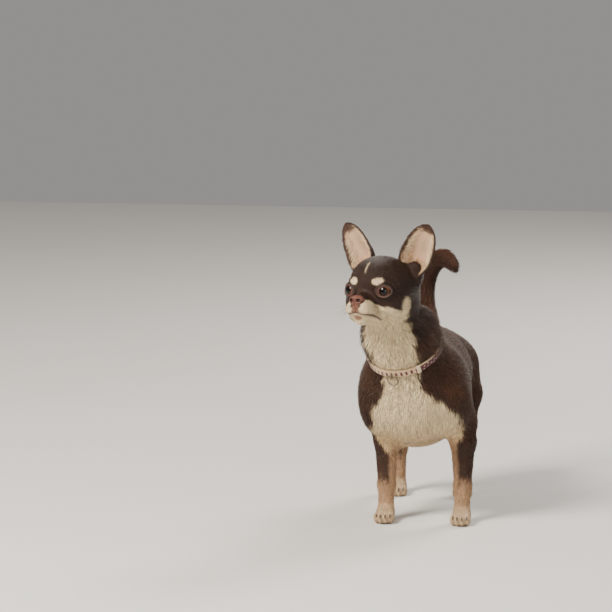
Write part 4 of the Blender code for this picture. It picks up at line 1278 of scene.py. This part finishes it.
def eye_material():
    wet = {"Roughness": 0.06, "Specular IOR Level": 0.16, "Coat Weight": 0.14, "Coat Roughness": 0.02}
    finish = Finish("eye", wet)
    finish.paint()
    finish.bump(finish.texture("TexNoise", "Fac", Scale=700.0, Detail=2.0), 0.02, 0.0001)
    return finish.material


def ear_material():
    glow = {"Subsurface Weight": 0.12, "Subsurface Radius": (0.004, 0.0015, 0.0008)}
    finish = Finish("ear skin", {"Roughness": 0.6, **glow})
    noise = finish.texture("TexNoise", "Fac", Scale=420.0, Detail=4.0)
    finish.paint(finish.spread(noise, 0.88, 1.12))
    finish.bump(noise, 0.25, 0.0003)
    return finish.material


def claw_material():
    finish = Finish("claw horn", {"Roughness": 0.35})
    noise = finish.texture("TexNoise", "Fac", Scale=500.0, Detail=2.0)
    finish.tone(noise, (0.05, 0.028, 0.018), (0.16, 0.10, 0.065))
    return finish.material


def weave_material(name):
    """Woven tape: its colour from the pattern on the band, its bump from crossing threads."""
    finish = Finish(name, {"Roughness": 0.75, "Sheen Weight": 0.15})
    threads = finish.node("UVMap", uv_map="weave").outputs["UV"]
    product = finish.node("Math", operation="MULTIPLY")
    for socket, direction in enumerate("XY"):
        wave = finish.node("TexWave", Scale=0.05, Distortion=0.0, bands_direction=direction)
        finish.link(threads, wave, "Vector")
        finish.link(wave.outputs["Fac"], product, socket)
    weave = product.outputs["Value"]
    finish.paint(finish.spread(weave, 0.70, 1.12))
    finish.bump(weave, 0.6, 0.0003)
    return finish.material


def steel_material():
    finish = Finish("ring steel", {"Base Color": (0.24, 0.19, 0.14, 1), "Metallic": 1.0})
    noise = finish.texture("TexNoise", "Fac", Scale=800.0, Detail=2.0)
    finish.link(finish.spread(noise, 0.22, 0.40), finish.shader, "Roughness")
    return finish.material


def smooth_piece(name, verts, faces):
    mesh = bpy.data.meshes.new(name)
    mesh.from_pydata([tuple(v) for v in verts], [], faces)
    mesh.update()
    mesh.shade_smooth()
    return new_object(name, mesh)


def face_outward(obj):
    mesh = bmesh.new()
    mesh.from_mesh(obj.data)
    bmesh.ops.recalc_face_normals(mesh, faces=mesh.faces[:])
    mesh.to_mesh(obj.data)
    mesh.free()


def grid_faces(rows, columns, wrap=False):
    faces = []
    for i in range(rows - 1):
        for j in range(columns if wrap else columns - 1):
            k = (j + 1) % columns
            faces.append((i * columns + j, i * columns + k, (i + 1) * columns + k, (i + 1) * columns + j))
    return faces


def iris_colour(around, amber):
    """The eye's colour at so many degrees from the middle of its pupil."""
    if around < PUPIL_EDGE:
        colour = PUPIL
    elif around < IRIS_START:
        colour = PUPIL + amber * 0.6 * (around - PUPIL_EDGE) / (IRIS_START - PUPIL_EDGE)
    elif around < IRIS_END:
        share = (around - IRIS_START) / (IRIS_END - IRIS_START)
        colour = amber * (0.6 + 0.4 * math.sin(share * math.pi))
    elif around < RIM_END:
        colour = amber * 0.5 * (RIM_END - around) / (RIM_END - IRIS_END) + IRIS_RIM
    else:
        colour = EYE_OUTER * min(1.0, (around - RIM_END) / 12) + IRIS_RIM
    return np.clip(colour, 0, 1)


def eye_piece(hand, side):
    """The eyeball with a slight bulge over the iris; pupil, amber iris and a dark rim as rings of colour,
    with a painted glow of light on the iris's lower side.
    """
    rows, columns = 64, 64
    verts, colours = [], []
    axes = eye_axes(hand)
    for polar in np.linspace(0, math.pi, rows):
        radius = EYE_RADIUS * (1 + 0.045 * math.exp(-((polar / 0.62) ** 4)))
        for j in range(columns):
            turn = 2 * math.pi * j / columns
            unit = (math.sin(polar) * math.cos(turn), -math.cos(polar), math.sin(polar) * math.sin(turn))
            verts.append(from_head(mirrored(EYE_AT, hand) + axes @ (radius * np.array(unit))))
            # Painted light: the iris glows brighter on its lower side, as light through the cornea would
            # light it
            painted_glow = 0.5 - 0.5 * math.sin(turn - 0.35 * hand)
            threads = 1 + 0.25 * math.sin(23 * turn) * math.sin(37 * turn + 1)
            colours.append(iris_colour(math.degrees(polar), AMBER * (0.25 + 0.9 * painted_glow) * threads))
    obj = smooth_piece("eyeball_" + side, verts, grid_faces(rows, columns, wrap=True))
    set_colour(obj, np.array(colours))
    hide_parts("eye_" + side)
    return obj


def nose_piece():
    """The leather of the nose: a rounded pad with comma-shaped nostrils and a groove down its middle, with
    painted shade in the nostrils and at its sides.
    """
    rows, columns = 110, 150
    wide, deep, high = NOSE_SIZE
    polar = np.linspace(0.0, math.pi, rows)[:, None]
    turn = np.linspace(0, 2 * math.pi, columns, endpoint=False)[None, :]
    ahead = -np.cos(polar) * np.ones_like(turn)
    unit = np.stack([np.sin(polar) * np.cos(turn), ahead, np.sin(polar) * np.sin(turn)], -1).reshape(-1, 3)
    shape = unit * np.array([wide, deep, high])
    shape[:, 0] *= 1 + 0.10 * np.clip(shape[:, 2] / high, -1, 1)
    shape[:, 2] *= np.where(shape[:, 2] > 0, 0.88, 1.0)
    shape[:, 1] += 0.0012 * ramp(shape[:, 2], 0.0030, 0.0062)
    x, z = np.abs(shape[:, 0]), shape[:, 2]
    front = unit[:, 1] < 0.15
    hole = np.hypot((x - 0.0040) / 0.0019, (z - 0.0004) / 0.0016)
    comma = np.hypot((x - 0.0064) / 0.0022, (z + 0.0006 + 0.25 * (x - 0.0064)) / 0.0007)
    in_hole, in_comma = np.exp(-(hole**4)), np.exp(-(comma**4))
    wing = 0.0006 * bell(hole - 1.55, 0.35)
    groove = 0.0011 * bell(x, 0.00055) * ramp(z, 0.0042, 0.0020)
    shape[:, 1] += np.where(front, 0.0034 * in_hole + 0.0020 * in_comma + groove - wing, 0.0)
    tone = 0.5 + 0.5 * ripple(shape, 0.0030, 3.0)
    # Painted shade: the nostrils nearly black, and the pad darker where it turns away at its sides
    dark = np.clip(in_hole * 1.2 + in_comma * 0.9, 0, 1) * front
    edge = ramp(np.abs(unit[:, 1]), 0.55, 0.15)
    colour = NOSE_BROWN * ((0.82 + 0.30 * tone) * (1 - 0.96 * dark) * (1 - 0.25 * edge))[:, None]
    verts = np.array([from_head(point) for point in shape + NOSE_AT])
    obj = smooth_piece("nose_leather", verts, grid_faces(rows, columns, wrap=True))
    set_colour(obj, np.clip(colour, 0, 1))
    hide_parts("nose")
    return obj


def shell_faces(rows, columns):
    """The faces of a thin closed shell, whose vertices are two grids joined along their edges."""
    size = rows * columns
    faces = grid_faces(rows, columns)
    faces += [tuple(size + i for i in reversed(face)) for face in grid_faces(rows, columns)]
    for i in range(rows - 1):
        for j in (0, columns - 1):
            a, b = i * columns + j, (i + 1) * columns + j
            faces.append((b, a, a + size, b + size) if j == 0 else (a, b, b + size, a + size))
    for i in (0, rows - 1):
        for j in range(columns - 1):
            a, b = i * columns + j, i * columns + j + 1
            faces.append((a, b, b + size, a + size) if i == 0 else (b, a, a + size, b + size))
    return faces


class Ear:
    """One ear's cup as a sheet of places, with its inner and outer surface."""

    def __init__(self, hand, side):
        self.hand, self.side = hand, side
        self.rows, self.columns = 60, 44
        shares = np.linspace(-0.13, 1.0, self.rows)
        arounds = np.linspace(-1, 1, self.columns)
        self.sheet = np.array([[ear_point(hand, share, around) for around in arounds] for share in shares])
        normal = np.cross(np.gradient(self.sheet, axis=1), np.gradient(self.sheet, axis=0))
        normal /= np.maximum(np.linalg.norm(normal, axis=2), 1e-9)[:, :, None]
        self.normal = normal * np.sign((normal @ ear_frame(hand)[3]).mean())
        self.share, self.around = np.meshgrid(shares, arounds, indexing="ij")
        half = EAR_THICKNESS / 2 * (1 - 0.55 * np.abs(self.around) ** 3)
        half = half * (1 - 0.5 * np.clip(self.share, 0, 1) ** 3)
        fold = 0.0006 * bell(np.abs(self.around) - 0.62, 0.10) * bell(self.share - 0.15, 0.22)
        tragus = 0.0016 * bell(self.around - 0.55, 0.16) * bell(self.share - 0.05, 0.10)
        self.inside = self.sheet + self.normal * (half + fold + tragus)[:, :, None]
        self.outside = self.sheet - self.normal * half[:, :, None]

    def inner_colours(self):
        """Pale in the middle with a dark border, painted shade in the middle of the cup, and red down in the
        cup.
        """
        border = np.maximum(np.abs(self.around), 1 - (1 - np.clip(self.share, 0, 1)) * 1.2)
        wave = ripple(self.sheet.reshape(-1, 3), 0.003, 1.0).reshape(border.shape)
        pale = ramp(border + 0.05 * wave, 0.90, 0.72)[:, :, None]
        # Painted shade in the hollow of the cup
        hollow_shade = bell(self.around - 0.1, 0.30) * bell(self.share - 0.5, 0.25)
        beige = EAR_BEIGE * (1 - 0.32 * hollow_shade)[:, :, None]
        depth = bell(self.share - 0.02, 0.16) * ramp(np.abs(self.around), 0.85, 0.3)
        colour = EAR_BROWN + (beige - EAR_BROWN) * pale
        return colour + (EAR_RED - colour) * (0.75 * depth)[:, :, None]

    def piece(self):
        """A cupped ear with a pale, folded inside, a dark border and a dark furred back."""
        surfaces = (self.inside, self.outside)
        verts = [from_head(point) for surface in surfaces for point in surface.reshape(-1, 3)]
        obj = smooth_piece("ear_cup_" + self.side, verts, shell_faces(self.rows, self.columns))
        face_outward(obj)
        inner = self.inner_colours().reshape(-1, 3)
        set_colour(obj, np.concatenate([inner, np.tile(DARK * 1.3, (len(inner), 1))]))
        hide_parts("ear_" + self.side)
        return obj

    def hair(self, rng, kind):
        """The roots, facing, lie, length, width, rise and colour of one kind of hair."""
        count, low, high, late, width, rise, upward, outward, colour = EAR_HAIR[kind]
        surface, sign = (self.outside, -1) if kind == "back" else (self.inside, 1)
        count = int(count * EAR_TUFTS)
        row = rng.uniform(0.05, self.rows - 1.01, count)
        column = rng.uniform(0, self.columns - 1.01, count)
        i, j = row.astype(int), column.astype(int)
        keep = rng.random(count) < ear_hair_chance(kind, self.share[i, j], self.around[i, j])
        i, j = i[keep], j[keep]
        share, around = self.share[i, j], self.around[i, j][:, None]
        di, dj = (row[keep] - i)[:, None], (column[keep] - j)[:, None]
        point = surface[i, j] * (1 - di) * (1 - dj) + surface[i + 1, j] * di * (1 - dj)
        point = point + surface[i, j + 1] * (1 - di) * dj + surface[i + 1, j + 1] * di * dj
        up = unit_rows(surface[i + 1, j] - surface[i, j])
        wide = unit_rows(surface[i, j + 1] - surface[i, j])
        length = low + (high - low) * np.clip(share, 0, 1) ** late
        lie = upward * up + outward * wide * around
        same = np.ones(len(i))
        return point, self.normal[i, j] * sign, lie, length, same * width, same * rise, same[:, None] * colour

    def coat(self):
        """Short dark hair on the ear's back and border, and long cream hair along its inner edges."""
        rng = np.random.default_rng(31 + self.hand)
        kinds = [self.hair(rng, kind) for kind in EAR_HAIR]
        places, facing, lie, *rest = [np.concatenate(part) for part in zip(*kinds)]
        root, rise, _, _ = ear_frame(self.hand)
        unwrap = around_axis(from_head(root - rise * 0.2), from_head(root + rise * 1.1))
        ways = (HEAD_AT + places @ HEAD_AXES.T, facing @ HEAD_AXES.T, lie @ HEAD_AXES.T)
        obj = tufts("ear_coat_" + self.side, *ways, *rest, unwrap, 77 + self.hand)
        return obj


def ear_hair_chance(kind, share, around):
    """How likely a kind of hair is at places of the ear, by share of its height and from edge to edge."""
    edge = np.abs(around)
    if kind == "border":
        return ramp(np.maximum(edge, 1 - (1 - share) * 1.15), 0.70, 0.88)
    if kind == "fringe":
        return bell(edge - 0.80, 0.14) * ramp(share, 0.88, 0.45)
    if kind == "down":
        return 0.35 * ramp(share, 0.95, 0.6)
    if kind == "base":
        return ramp(share, 0.18, 0.02)
    return np.ones(len(share))


def claw_piece(kind, side, heel):
    """The smooth tapering claws of one paw."""
    _, _, high = PAW_SIZES[kind]
    verts, faces = [], []
    sides, rings = CLAW_SIDES, CLAW_RINGS
    for across, reach in zip(TOE_SPREAD, TOE_REACH):
        root = np.array([heel[0] + across, heel[1] - 0.006 - reach - CLAW_BEFORE_PAD, high - 0.0002])
        start = len(verts)
        for share in np.linspace(0, 1, rings):
            centre = root + np.array([0.0, -CLAW_LENGTH * share, 0.0004 - 0.0022 * share**2])
            radius = CLAW_RADIUS * (1 - share) ** 0.7 + CLAW_TIP
            for j in range(sides):
                turn = 2 * math.pi * j / sides
                verts.append(centre + radius * np.array([0.8 * math.cos(turn), 0.0, math.sin(turn)]))
        faces += [tuple(start + v for v in face) for face in grid_faces(rings, sides, wrap=True)]
        faces.append(tuple(start + j for j in range(sides)))
        faces.append(tuple(start + (rings - 1) * sides + j for j in reversed(range(sides))))
    obj = smooth_piece(f"claws_{kind}_{side}", verts, faces)
    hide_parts(*[f"claw_{kind}_{side}_{n}" for n in range(1, 5)])
    return obj


def band_colour(degrees, metres, lift):
    """The band's pattern: dashes between cream edges at the dog's right front, small checks elsewhere."""
    if DASHES_TURN < degrees < KEEPER_TURN:
        if (metres / DASH) % 1.0 < 0.46 and abs(lift) < 0.70:
            return BAND_MAROON
        return BAND_CREAM if abs(lift) < 0.8 else BAND_TAN
    thread, row = int(metres / THREAD), int((lift + 1) * 3.2)
    if lift > 0.72:
        return BAND_CREAM
    if (thread * 7 + row * 5) % 11 == 0:
        return BAND_PALE
    return BAND_MAROON if (thread + row) % 2 else BAND_DEEP


def collar_band(course):
    """The woven band: one rounded section carried round the neck."""
    up, right, front, turns, _, reach = course
    section = [(-COLLAR_SINK, -1.0), (COLLAR_FACE - 0.0004, -1.0), (COLLAR_FACE, -0.86)]
    section += [(COLLAR_FACE + 0.00012 * math.cos(lift * 2), lift) for lift in np.linspace(-0.7, 0.7, 11)]
    section += [(COLLAR_FACE, 0.86), (COLLAR_FACE - 0.0004, 1.0), (-COLLAR_SINK, 1.0)]
    steps, count = BAND_STEPS, len(section)
    half = COLLAR_HEIGHT / 2
    verts, colours, places = [], [], []
    for turn in np.linspace(0, 2 * math.pi, steps, endpoint=False):
        length = np.interp(turn, turns, reach, period=2 * math.pi)
        way = np.sin(turn) * right + np.cos(turn) * front
        degrees = (math.degrees(turn) + 180) % 360 - 180
        metres = math.radians(degrees) * BAND_RADIUS + BAND_START
        for depth, lift in section:
            verts.append(COLLAR_AT + way * (length + depth) + up * half * lift)
            colours.append(band_colour(degrees, metres, lift))
            places.append((metres / THREAD * math.tau, lift * half / 0.0010 * math.tau))
    faces = []
    for i in range(steps):
        here, after = i * count, (i + 1) % steps * count
        for j in range(count):
            k = (j + 1) % count
            faces.append((here + j, here + k, after + k, after + j))
    band = smooth_piece("collar_weave", verts, faces)
    face_outward(band)
    band.data.set_sharp_from_angle(angle=math.radians(50))
    set_colour(band, np.array(colours))
    set_map(band, "weave", places)
    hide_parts("collar_band")
    return band


def collar_keeper(course):
    """The woven keeper over the band, its ends bent in."""
    up = course[0]
    spot, way = collar_spot(course, KEEPER_TURN, COLLAR_FACE + GAP + KEEPER_SIZE[1] / 2)
    mesh = bmesh.new()
    bmesh.ops.create_cube(mesh, size=1.0)
    bmesh.ops.subdivide_edges(mesh, edges=mesh.edges[:], cuts=6, use_grid_fill=True)
    bmesh.ops.scale(mesh, vec=KEEPER_SIZE, verts=mesh.verts)
    for vert in mesh.verts:
        bend = (vert.co.z / (KEEPER_SIZE[2] / 2)) ** 4
        vert.co.y -= 0.0012 * bend
        vert.co.x *= 1 - 0.06 * bend
    turn = Matrix(np.stack([np.cross(way, up), way, up], 1)).to_4x4()
    bmesh.ops.transform(mesh, matrix=Matrix.Translation(spot) @ turn, verts=mesh.verts)
    keeper = new_object("keeper_loop", mesh)
    bevel = keeper.modifiers.new("Bevel", "BEVEL")
    bevel.width = 0.0003
    bevel.segments = 2
    settle(keeper)
    keeper.data.shade_smooth()
    local = (coordinates(keeper.data) - spot) @ np.array(turn.to_3x3())
    set_colour(keeper, KEEPER_CREAM)
    set_map(keeper, "weave", local[:, [0, 2]] / THREAD * math.tau)
    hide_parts("collar_keeper")
    return keeper


def wire_pieces(dog, course):
    """The staple and the ring that it holds, smooth and round."""
    up = course[0]
    spot, way = collar_spot(course, RING_TURN, COLLAR_FACE + GAP)
    staple = rounded_course(staple_course(spot, way, up), STAPLE_STEPS)
    ring = ring_course(dog, spot, way, up)
    made = []
    for part, points, cyclic in (("staple", staple, False), ("ring", ring, True)):
        obj = tube(part + "_wire", points, RING_WIRE, cyclic)
        obj.data.shade_smooth()
        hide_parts("collar_" + part)
        made.append(obj)
    return made


def collar_clearance(course, points):
    """Height over the collar's middle, distance from its course, and degrees from its front."""
    up, right, front, turns, _, reach = course
    offset = points - COLLAR_AT
    height = offset @ up
    flat = offset - height[:, None] * up
    turn = np.arctan2(flat @ right, flat @ front) % (2 * math.pi)
    length = np.interp(turn, turns, reach, period=2 * math.pi)
    return height, np.linalg.norm(flat, axis=1) - length, np.abs((np.degrees(turn) + 180) % 360 - 180)


def lip_distance(skin, heads, on_head):
    """Distance from the line of the mouth, or 1 away from the muzzle."""
    found = np.full(len(heads), 1.0)
    muzzle = on_head & (heads[:, 1] < MUZZLE_BACK)
    found[muzzle] = course_distance(heads[muzzle], skin.mouth)
    return found


def face_share(heads, on_head, far, close):
    """How much a point belongs to the face, from far to close to its middle."""
    return ramp(np.linalg.norm(heads - FACE_MIDDLE, axis=1), far, close) * on_head


def tuft_density(dog, skin, course):
    """How closely tufts grow: most on the face, none on the lids, the nose, the lips or under the collar."""

    def density(points, normals):
        heads = to_head(points)
        on_head = np.linalg.norm(heads, axis=1) < DENSE_REACH
        each = dog.shares(points) @ TUFT_CLOSENESS
        each = each * (1 + 1.6 * face_share(heads, on_head, 0.040, 0.016))
        each = np.where(on_head & (heads[:, 1] > 0.0), each * 0.8, each)
        each = each * (1 + 0.5 * ramp(points[:, 2], 0.030, 0.012))
        nose = (heads - NOSE_AT) / (np.array(NOSE_SIZE) + 0.0007)
        height, far, _ = collar_clearance(course, points)
        under_collar = (np.abs(height) < COLLAR_HEIGHT / 2 + 0.0004) & (far < 0.004) & (far > -0.012)
        bare = (np.linalg.norm(nose, axis=1) < 1.0) | under_collar | (points[:, 2] < 0.0012)
        bare |= lip_distance(skin, heads, on_head) < 0.0013
        for hand in (1, -1):
            edge, outward, _ = lid_edge(heads, hand)
            bare |= (outward > 0.001) & (edge < 0.0006) & on_head
        return np.where(bare, 0.0, each)

    return density


def tuft_shapes(skin, course, roots, facing, shares, bare, light):
    """Each tuft's length, width and rise: shortest on the face and feet, longest at the neck and tail."""
    heads = to_head(roots)
    on_head = np.linalg.norm(heads, axis=1) < TUFTS_REACH
    face = face_share(heads, on_head, 0.046, 0.018)
    thigh_back = ramp(roots[:, 1], 0.085, 0.110) * ramp(roots[:, 2], 0.060, 0.090) * (roots[:, 2] < 0.175)
    ruff = ramp(np.abs(facing[:, 0]), 0.45, 0.85) * shares[:, 1] * ramp(roots[:, 2], 0.180, 0.200)
    length = shares @ TUFT_LENGTH * (1 - 0.62 * face) * (1 - 0.45 * ramp(roots[:, 2], 0.034, 0.014))
    length = length * (1 + 0.5 * thigh_back) * (1 + 0.35 * ruff)
    width = shares @ TUFT_WIDTH * (1 - 0.42 * face)
    rise = shares @ TUFT_RISE * (1 + 0.35 * ruff)

    # Above the collar the coat ends at the band in front and falls over it at the sides and back
    height, far, turned_by = collar_clearance(course, roots)
    above = (height > 0) & (far < 0.012) & (far > -0.015)
    room = np.maximum(height - COLLAR_HEIGHT / 2, 0.0) + 0.0010
    falls_over = ramp(turned_by, 48, 72) * ramp(height, 0.016, 0.009) * above
    length = np.where(above, np.minimum(length, room * 1.1 + 0.0006 + 0.02 * falls_over), length)
    length = length * (1 - falls_over) + 0.0135 * falls_over
    rise = rise * (1 - falls_over) + 0.50 * falls_over

    # Whisker pads, and the bare and light parts of the face
    pad = whisker_pad(heads) * on_head
    length = length * (1 - pad) + 0.0042 * pad
    rise = rise + 0.26 * pad
    length = length * (1 - 0.6 * bare) * (1 - 0.15 * light * on_head)
    lips = lip_distance(skin, heads, on_head)
    length = np.where(lips < 0.0045, np.minimum(length, 0.0008 + 0.45 * lips), length)
    return length, width, rise


CHAINS = (("fore", foreleg_points), ("hind", hindleg_points))


def coat_pieces(roots, owner):
    """The pieces of the coat: which roots each one has, and its unwrap."""
    left = roots[:, 0] >= 0
    left_of_head = to_head(roots)[:, 0] >= 0
    head_map = around_axis(from_head((0, -0.058, -0.010)), from_head((0, 0.045, -0.004)))
    trunk_map = around_axis((0, -0.125, 0.14), (0, 0.125, 0.14))
    neck_map = around_axis(COLLAR_AT - COLLAR_UP * 0.03, from_head((0, 0, 0.01)))
    tail_map = around_axis((0, 0.10, 0.155), (0.0, 0.11, 0.275))
    middle = (foreleg_points(1)[3][0] + foreleg_points(-1)[3][0]) / 2
    leg_maps = {}
    for hand, _ in SIDES:
        for kind, chain in CHAINS:
            foot, top = chain(hand)[-1].copy(), chain(hand)[0].copy()
            foot[2], top[2] = -0.01, 0.17
            leg_maps[kind, hand] = around_axis(foot, top)

    def foreleg_map(points):
        """The left leg takes the map's left half and the right leg its right half."""
        found = np.empty((len(points), 2))
        for hand, start in ((1, 0.01), (-1, 0.51)):
            mask = (points[:, 0] >= middle) if hand > 0 else (points[:, 0] < middle)
            whole = leg_maps["fore", hand](points[mask])
            found[mask] = whole * np.array([0.48, 1.0]) + np.array([start, 0.0])
        return found

    head, neck, trunk, leg, tail = (owner == number for number in range(len(REGIONS)))
    hind = leg & (roots[:, 1] >= 0.0)
    return (
        ("coat_head_left", head & left_of_head, head_map),
        ("coat_head_right", head & ~left_of_head, head_map),
        ("coat_neck", neck, neck_map),
        ("coat_trunk_left", trunk & left, trunk_map),
        ("coat_trunk_right", trunk & ~left, trunk_map),
        ("coat_forelegs", leg & ~hind, foreleg_map),
        ("coat_hindleg_left", hind & left, leg_maps["hind", 1]),
        ("coat_hindleg_right", hind & ~left, leg_maps["hind", -1]),
        ("coat_tail", tail, tail_map),
    )


def coat_of(dog, skin, skin_obj, course):
    """Tufts over the whole skin."""
    roots, facing = scatter(skin_obj.data, tuft_density(dog, skin, course), TUFTS, 11)
    shares = dog.shares(roots)
    lie = flow(roots, shares)
    colour, light = markings(roots, facing)
    colour, bare = bare_skin(skin, to_head(roots), colour)
    length, width, rise = tuft_shapes(skin, course, roots, facing, shares, bare, light)
    # Painted highlight: dark fur that faces up turns warmer and brighter in patches, less on the head
    lit = np.clip(ripple(roots, 0.009, 5.0) * 0.5 + 0.5, 0, 1)
    painted_highlight = (1 - light) * 0.35 * lit * ramp(facing[:, 2], -0.2, 0.9) * (1 - shares[:, 0] * 0.75)
    colour = mixed(colour, WARM_AND_HIGHLIGHT * 1.1, painted_highlight)
    made = []
    for number, (name, mask, unwrap) in enumerate(coat_pieces(roots, shares.argmax(1))):
        rows = [values[mask] for values in (roots, facing, lie, length, width, rise, colour)]
        obj = tufts(name, *rows, unwrap, 100 + number)
        made.append(obj)
    return made


def whisker_mesh(strands):
    """Thin tapering four-sided strands that droop, from their roots, ways and lengths in the head's frame."""
    verts, faces = [], []
    for root, way, length in strands:
        way = way / np.linalg.norm(way)
        side = np.cross(way, (0, 0, 1.0))
        side /= np.linalg.norm(side)
        other = np.cross(way, side)
        start = len(verts)
        for share in np.linspace(0, 1, 7):
            centre = root + way * length * share + WHISKER_DROOP * length * share**2 * 0.6
            radius = WHISKER_RADIUS * (1 - share) + WHISKER_TIP
            for turn in np.arange(4) * math.pi / 2:
                verts.append(from_head(centre + radius * (side * math.cos(turn) + other * math.sin(turn))))
        faces += [tuple(start + v for v in face) for face in grid_faces(7, 4, wrap=True)]
        faces.append(tuple(start + j for j in reversed(range(4))))
        faces.append(tuple(start + 24 + j for j in range(4)))
    return verts, faces


def whiskers(skin_obj):
    """Fine whiskers in rows at the sides of the muzzle."""
    rng = np.random.default_rng(5)
    heads = to_head(coordinates(skin_obj.data))
    strands = []
    for hand in (1, -1):
        for row in range(3):
            for column in range(4):
                target = (0.0105 + 0.0016 * column, -0.0440 + 0.0032 * column, -0.0150 - 0.0022 * row)
                index = np.argmin(np.linalg.norm(heads - mirrored(target, hand), axis=1))
                way = np.array([0.85 * hand, -0.25 + 0.25 * column, -0.10 - 0.22 * row + rng.normal(0, 0.08)])
                strands.append((heads[index], way, rng.uniform(*WHISKER_LENGTHS)))
    obj = smooth_piece("whiskers", *whisker_mesh(strands))
    set_colour(obj, WHISKER)
    return obj


def studio(shift):
    """A pale floor, a soft surround and three soft lamps."""
    mesh = bmesh.new()
    bmesh.ops.create_grid(mesh, x_segments=2, y_segments=2, size=FLOOR_SIZE)
    floor = new_object("floor", mesh)
    finish = Finish("pale floor", {"Roughness": 0.8})
    noise = finish.node("TexNoise", Scale=30.0, Detail=3.0).outputs["Fac"]
    finish.tone(noise, (0.66, 0.65, 0.63), (0.70, 0.69, 0.67))
    floor.data.materials.append(finish.material)
    world = bpy.data.worlds.new("studio")
    bpy.context.scene.world = world
    world.use_nodes = True
    back = world.node_tree.nodes["Background"]
    back.inputs["Color"].default_value = SURROUND
    back.inputs["Strength"].default_value = SURROUND_STRENGTH
    target = Vector(shift) + Vector((0, -0.03, 0.17))
    for name, place, size, power, colour in LAMPS:
        light = bpy.data.lights.new(name, "AREA")
        light.size = size
        light.energy = power
        light.color = colour
        lamp = bpy.data.objects.new(name, light)
        lamp.location = place
        lamp.rotation_euler = (target - Vector(place)).to_track_quat("-Z", "Y").to_euler()
        bpy.context.scene.collection.objects.link(lamp)


def camera(shift):
    """The photograph's view: a little to the dog's left of straight ahead, slightly from above."""
    azimuth, elevation = math.radians(CAMERA_AZIMUTH), math.radians(CAMERA_ELEVATION)
    level = Vector((math.sin(azimuth), -math.cos(azimuth), 0.0)) * math.cos(elevation)
    away = level + Vector((0.0, 0.0, math.sin(elevation)))
    right = Vector((math.cos(azimuth), math.sin(azimuth), 0.0))
    up = away.cross(right)
    head = Vector(HEAD_AT + shift)
    aim = head - right * (HEAD_PIXEL[0] - FRAME / 2) * PIXEL - up * (FRAME / 2 - HEAD_PIXEL[1]) * PIXEL
    lens = bpy.data.cameras.new("camera")
    lens.lens = lens.sensor_width * CAMERA_DISTANCE / (FRAME * PIXEL)
    obj = bpy.data.objects.new("camera", lens)
    turn = Matrix((right, up, away)).transposed()
    obj.matrix_world = Matrix.Translation(aim + away * CAMERA_DISTANCE) @ turn.to_4x4()
    bpy.context.scene.collection.objects.link(obj)
    bpy.context.scene.camera = obj


def add_piece(obj, material):
    obj.data.materials.append(material)
    PIECES.append(obj)


# The way from the dog's own place to the frame's, told from its left eye
low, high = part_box("eye_left")
shift = (np.array(low) + np.array(high)) / 2 - from_head(EYE_AT)
camera(shift)
studio(shift)

# The skin
dog = Dog()
skin = Skin(dog)
skin_obj = skin_object(dog, skin)
_, points, normals = mesh_arrays(skin_obj.data)
colour, bare = bare_skin(skin, to_head(points), markings(points, normals)[0])
# Painted shade: the skin is darker where the coat covers it than where it is bare
set_colour(skin_obj, np.clip(colour * (0.75 + 0.25 * bare)[:, None], 0, 1))
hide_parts(*FLESH)
add_piece(skin_obj, coat_material("skin", 0.62, 0.05, 0.5))

# Claws and collar
horn = claw_material()
for kind, chain in CHAINS:
    for hand, side in SIDES:
        add_piece(claw_piece(kind, side, chain(hand)[-1]), horn)
course = collar_course(dog)
add_piece(collar_band(course), weave_material("woven band"))
add_piece(collar_keeper(course), weave_material("keeper weave"))
steel = steel_material()
for wire in wire_pieces(dog, course):
    add_piece(wire, steel)

# Eyes, ears, nose, whiskers and coat
wet = eye_material()
lining = ear_material()
fur = coat_material("coat", 0.40, 0.04, 0.0)
for hand, side in SIDES:
    add_piece(eye_piece(hand, side), wet)
    ear = Ear(hand, side)
    add_piece(ear.piece(), lining)
    add_piece(ear.coat(), fur)
add_piece(nose_piece(), nose_material())
add_piece(whiskers(skin_obj), fur)
for tuft_piece in coat_of(dog, skin, skin_obj, course):
    add_piece(tuft_piece, fur)

for obj in PIECES:
    obj.data.transform(Matrix.Translation(shift))
    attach(obj, "root")
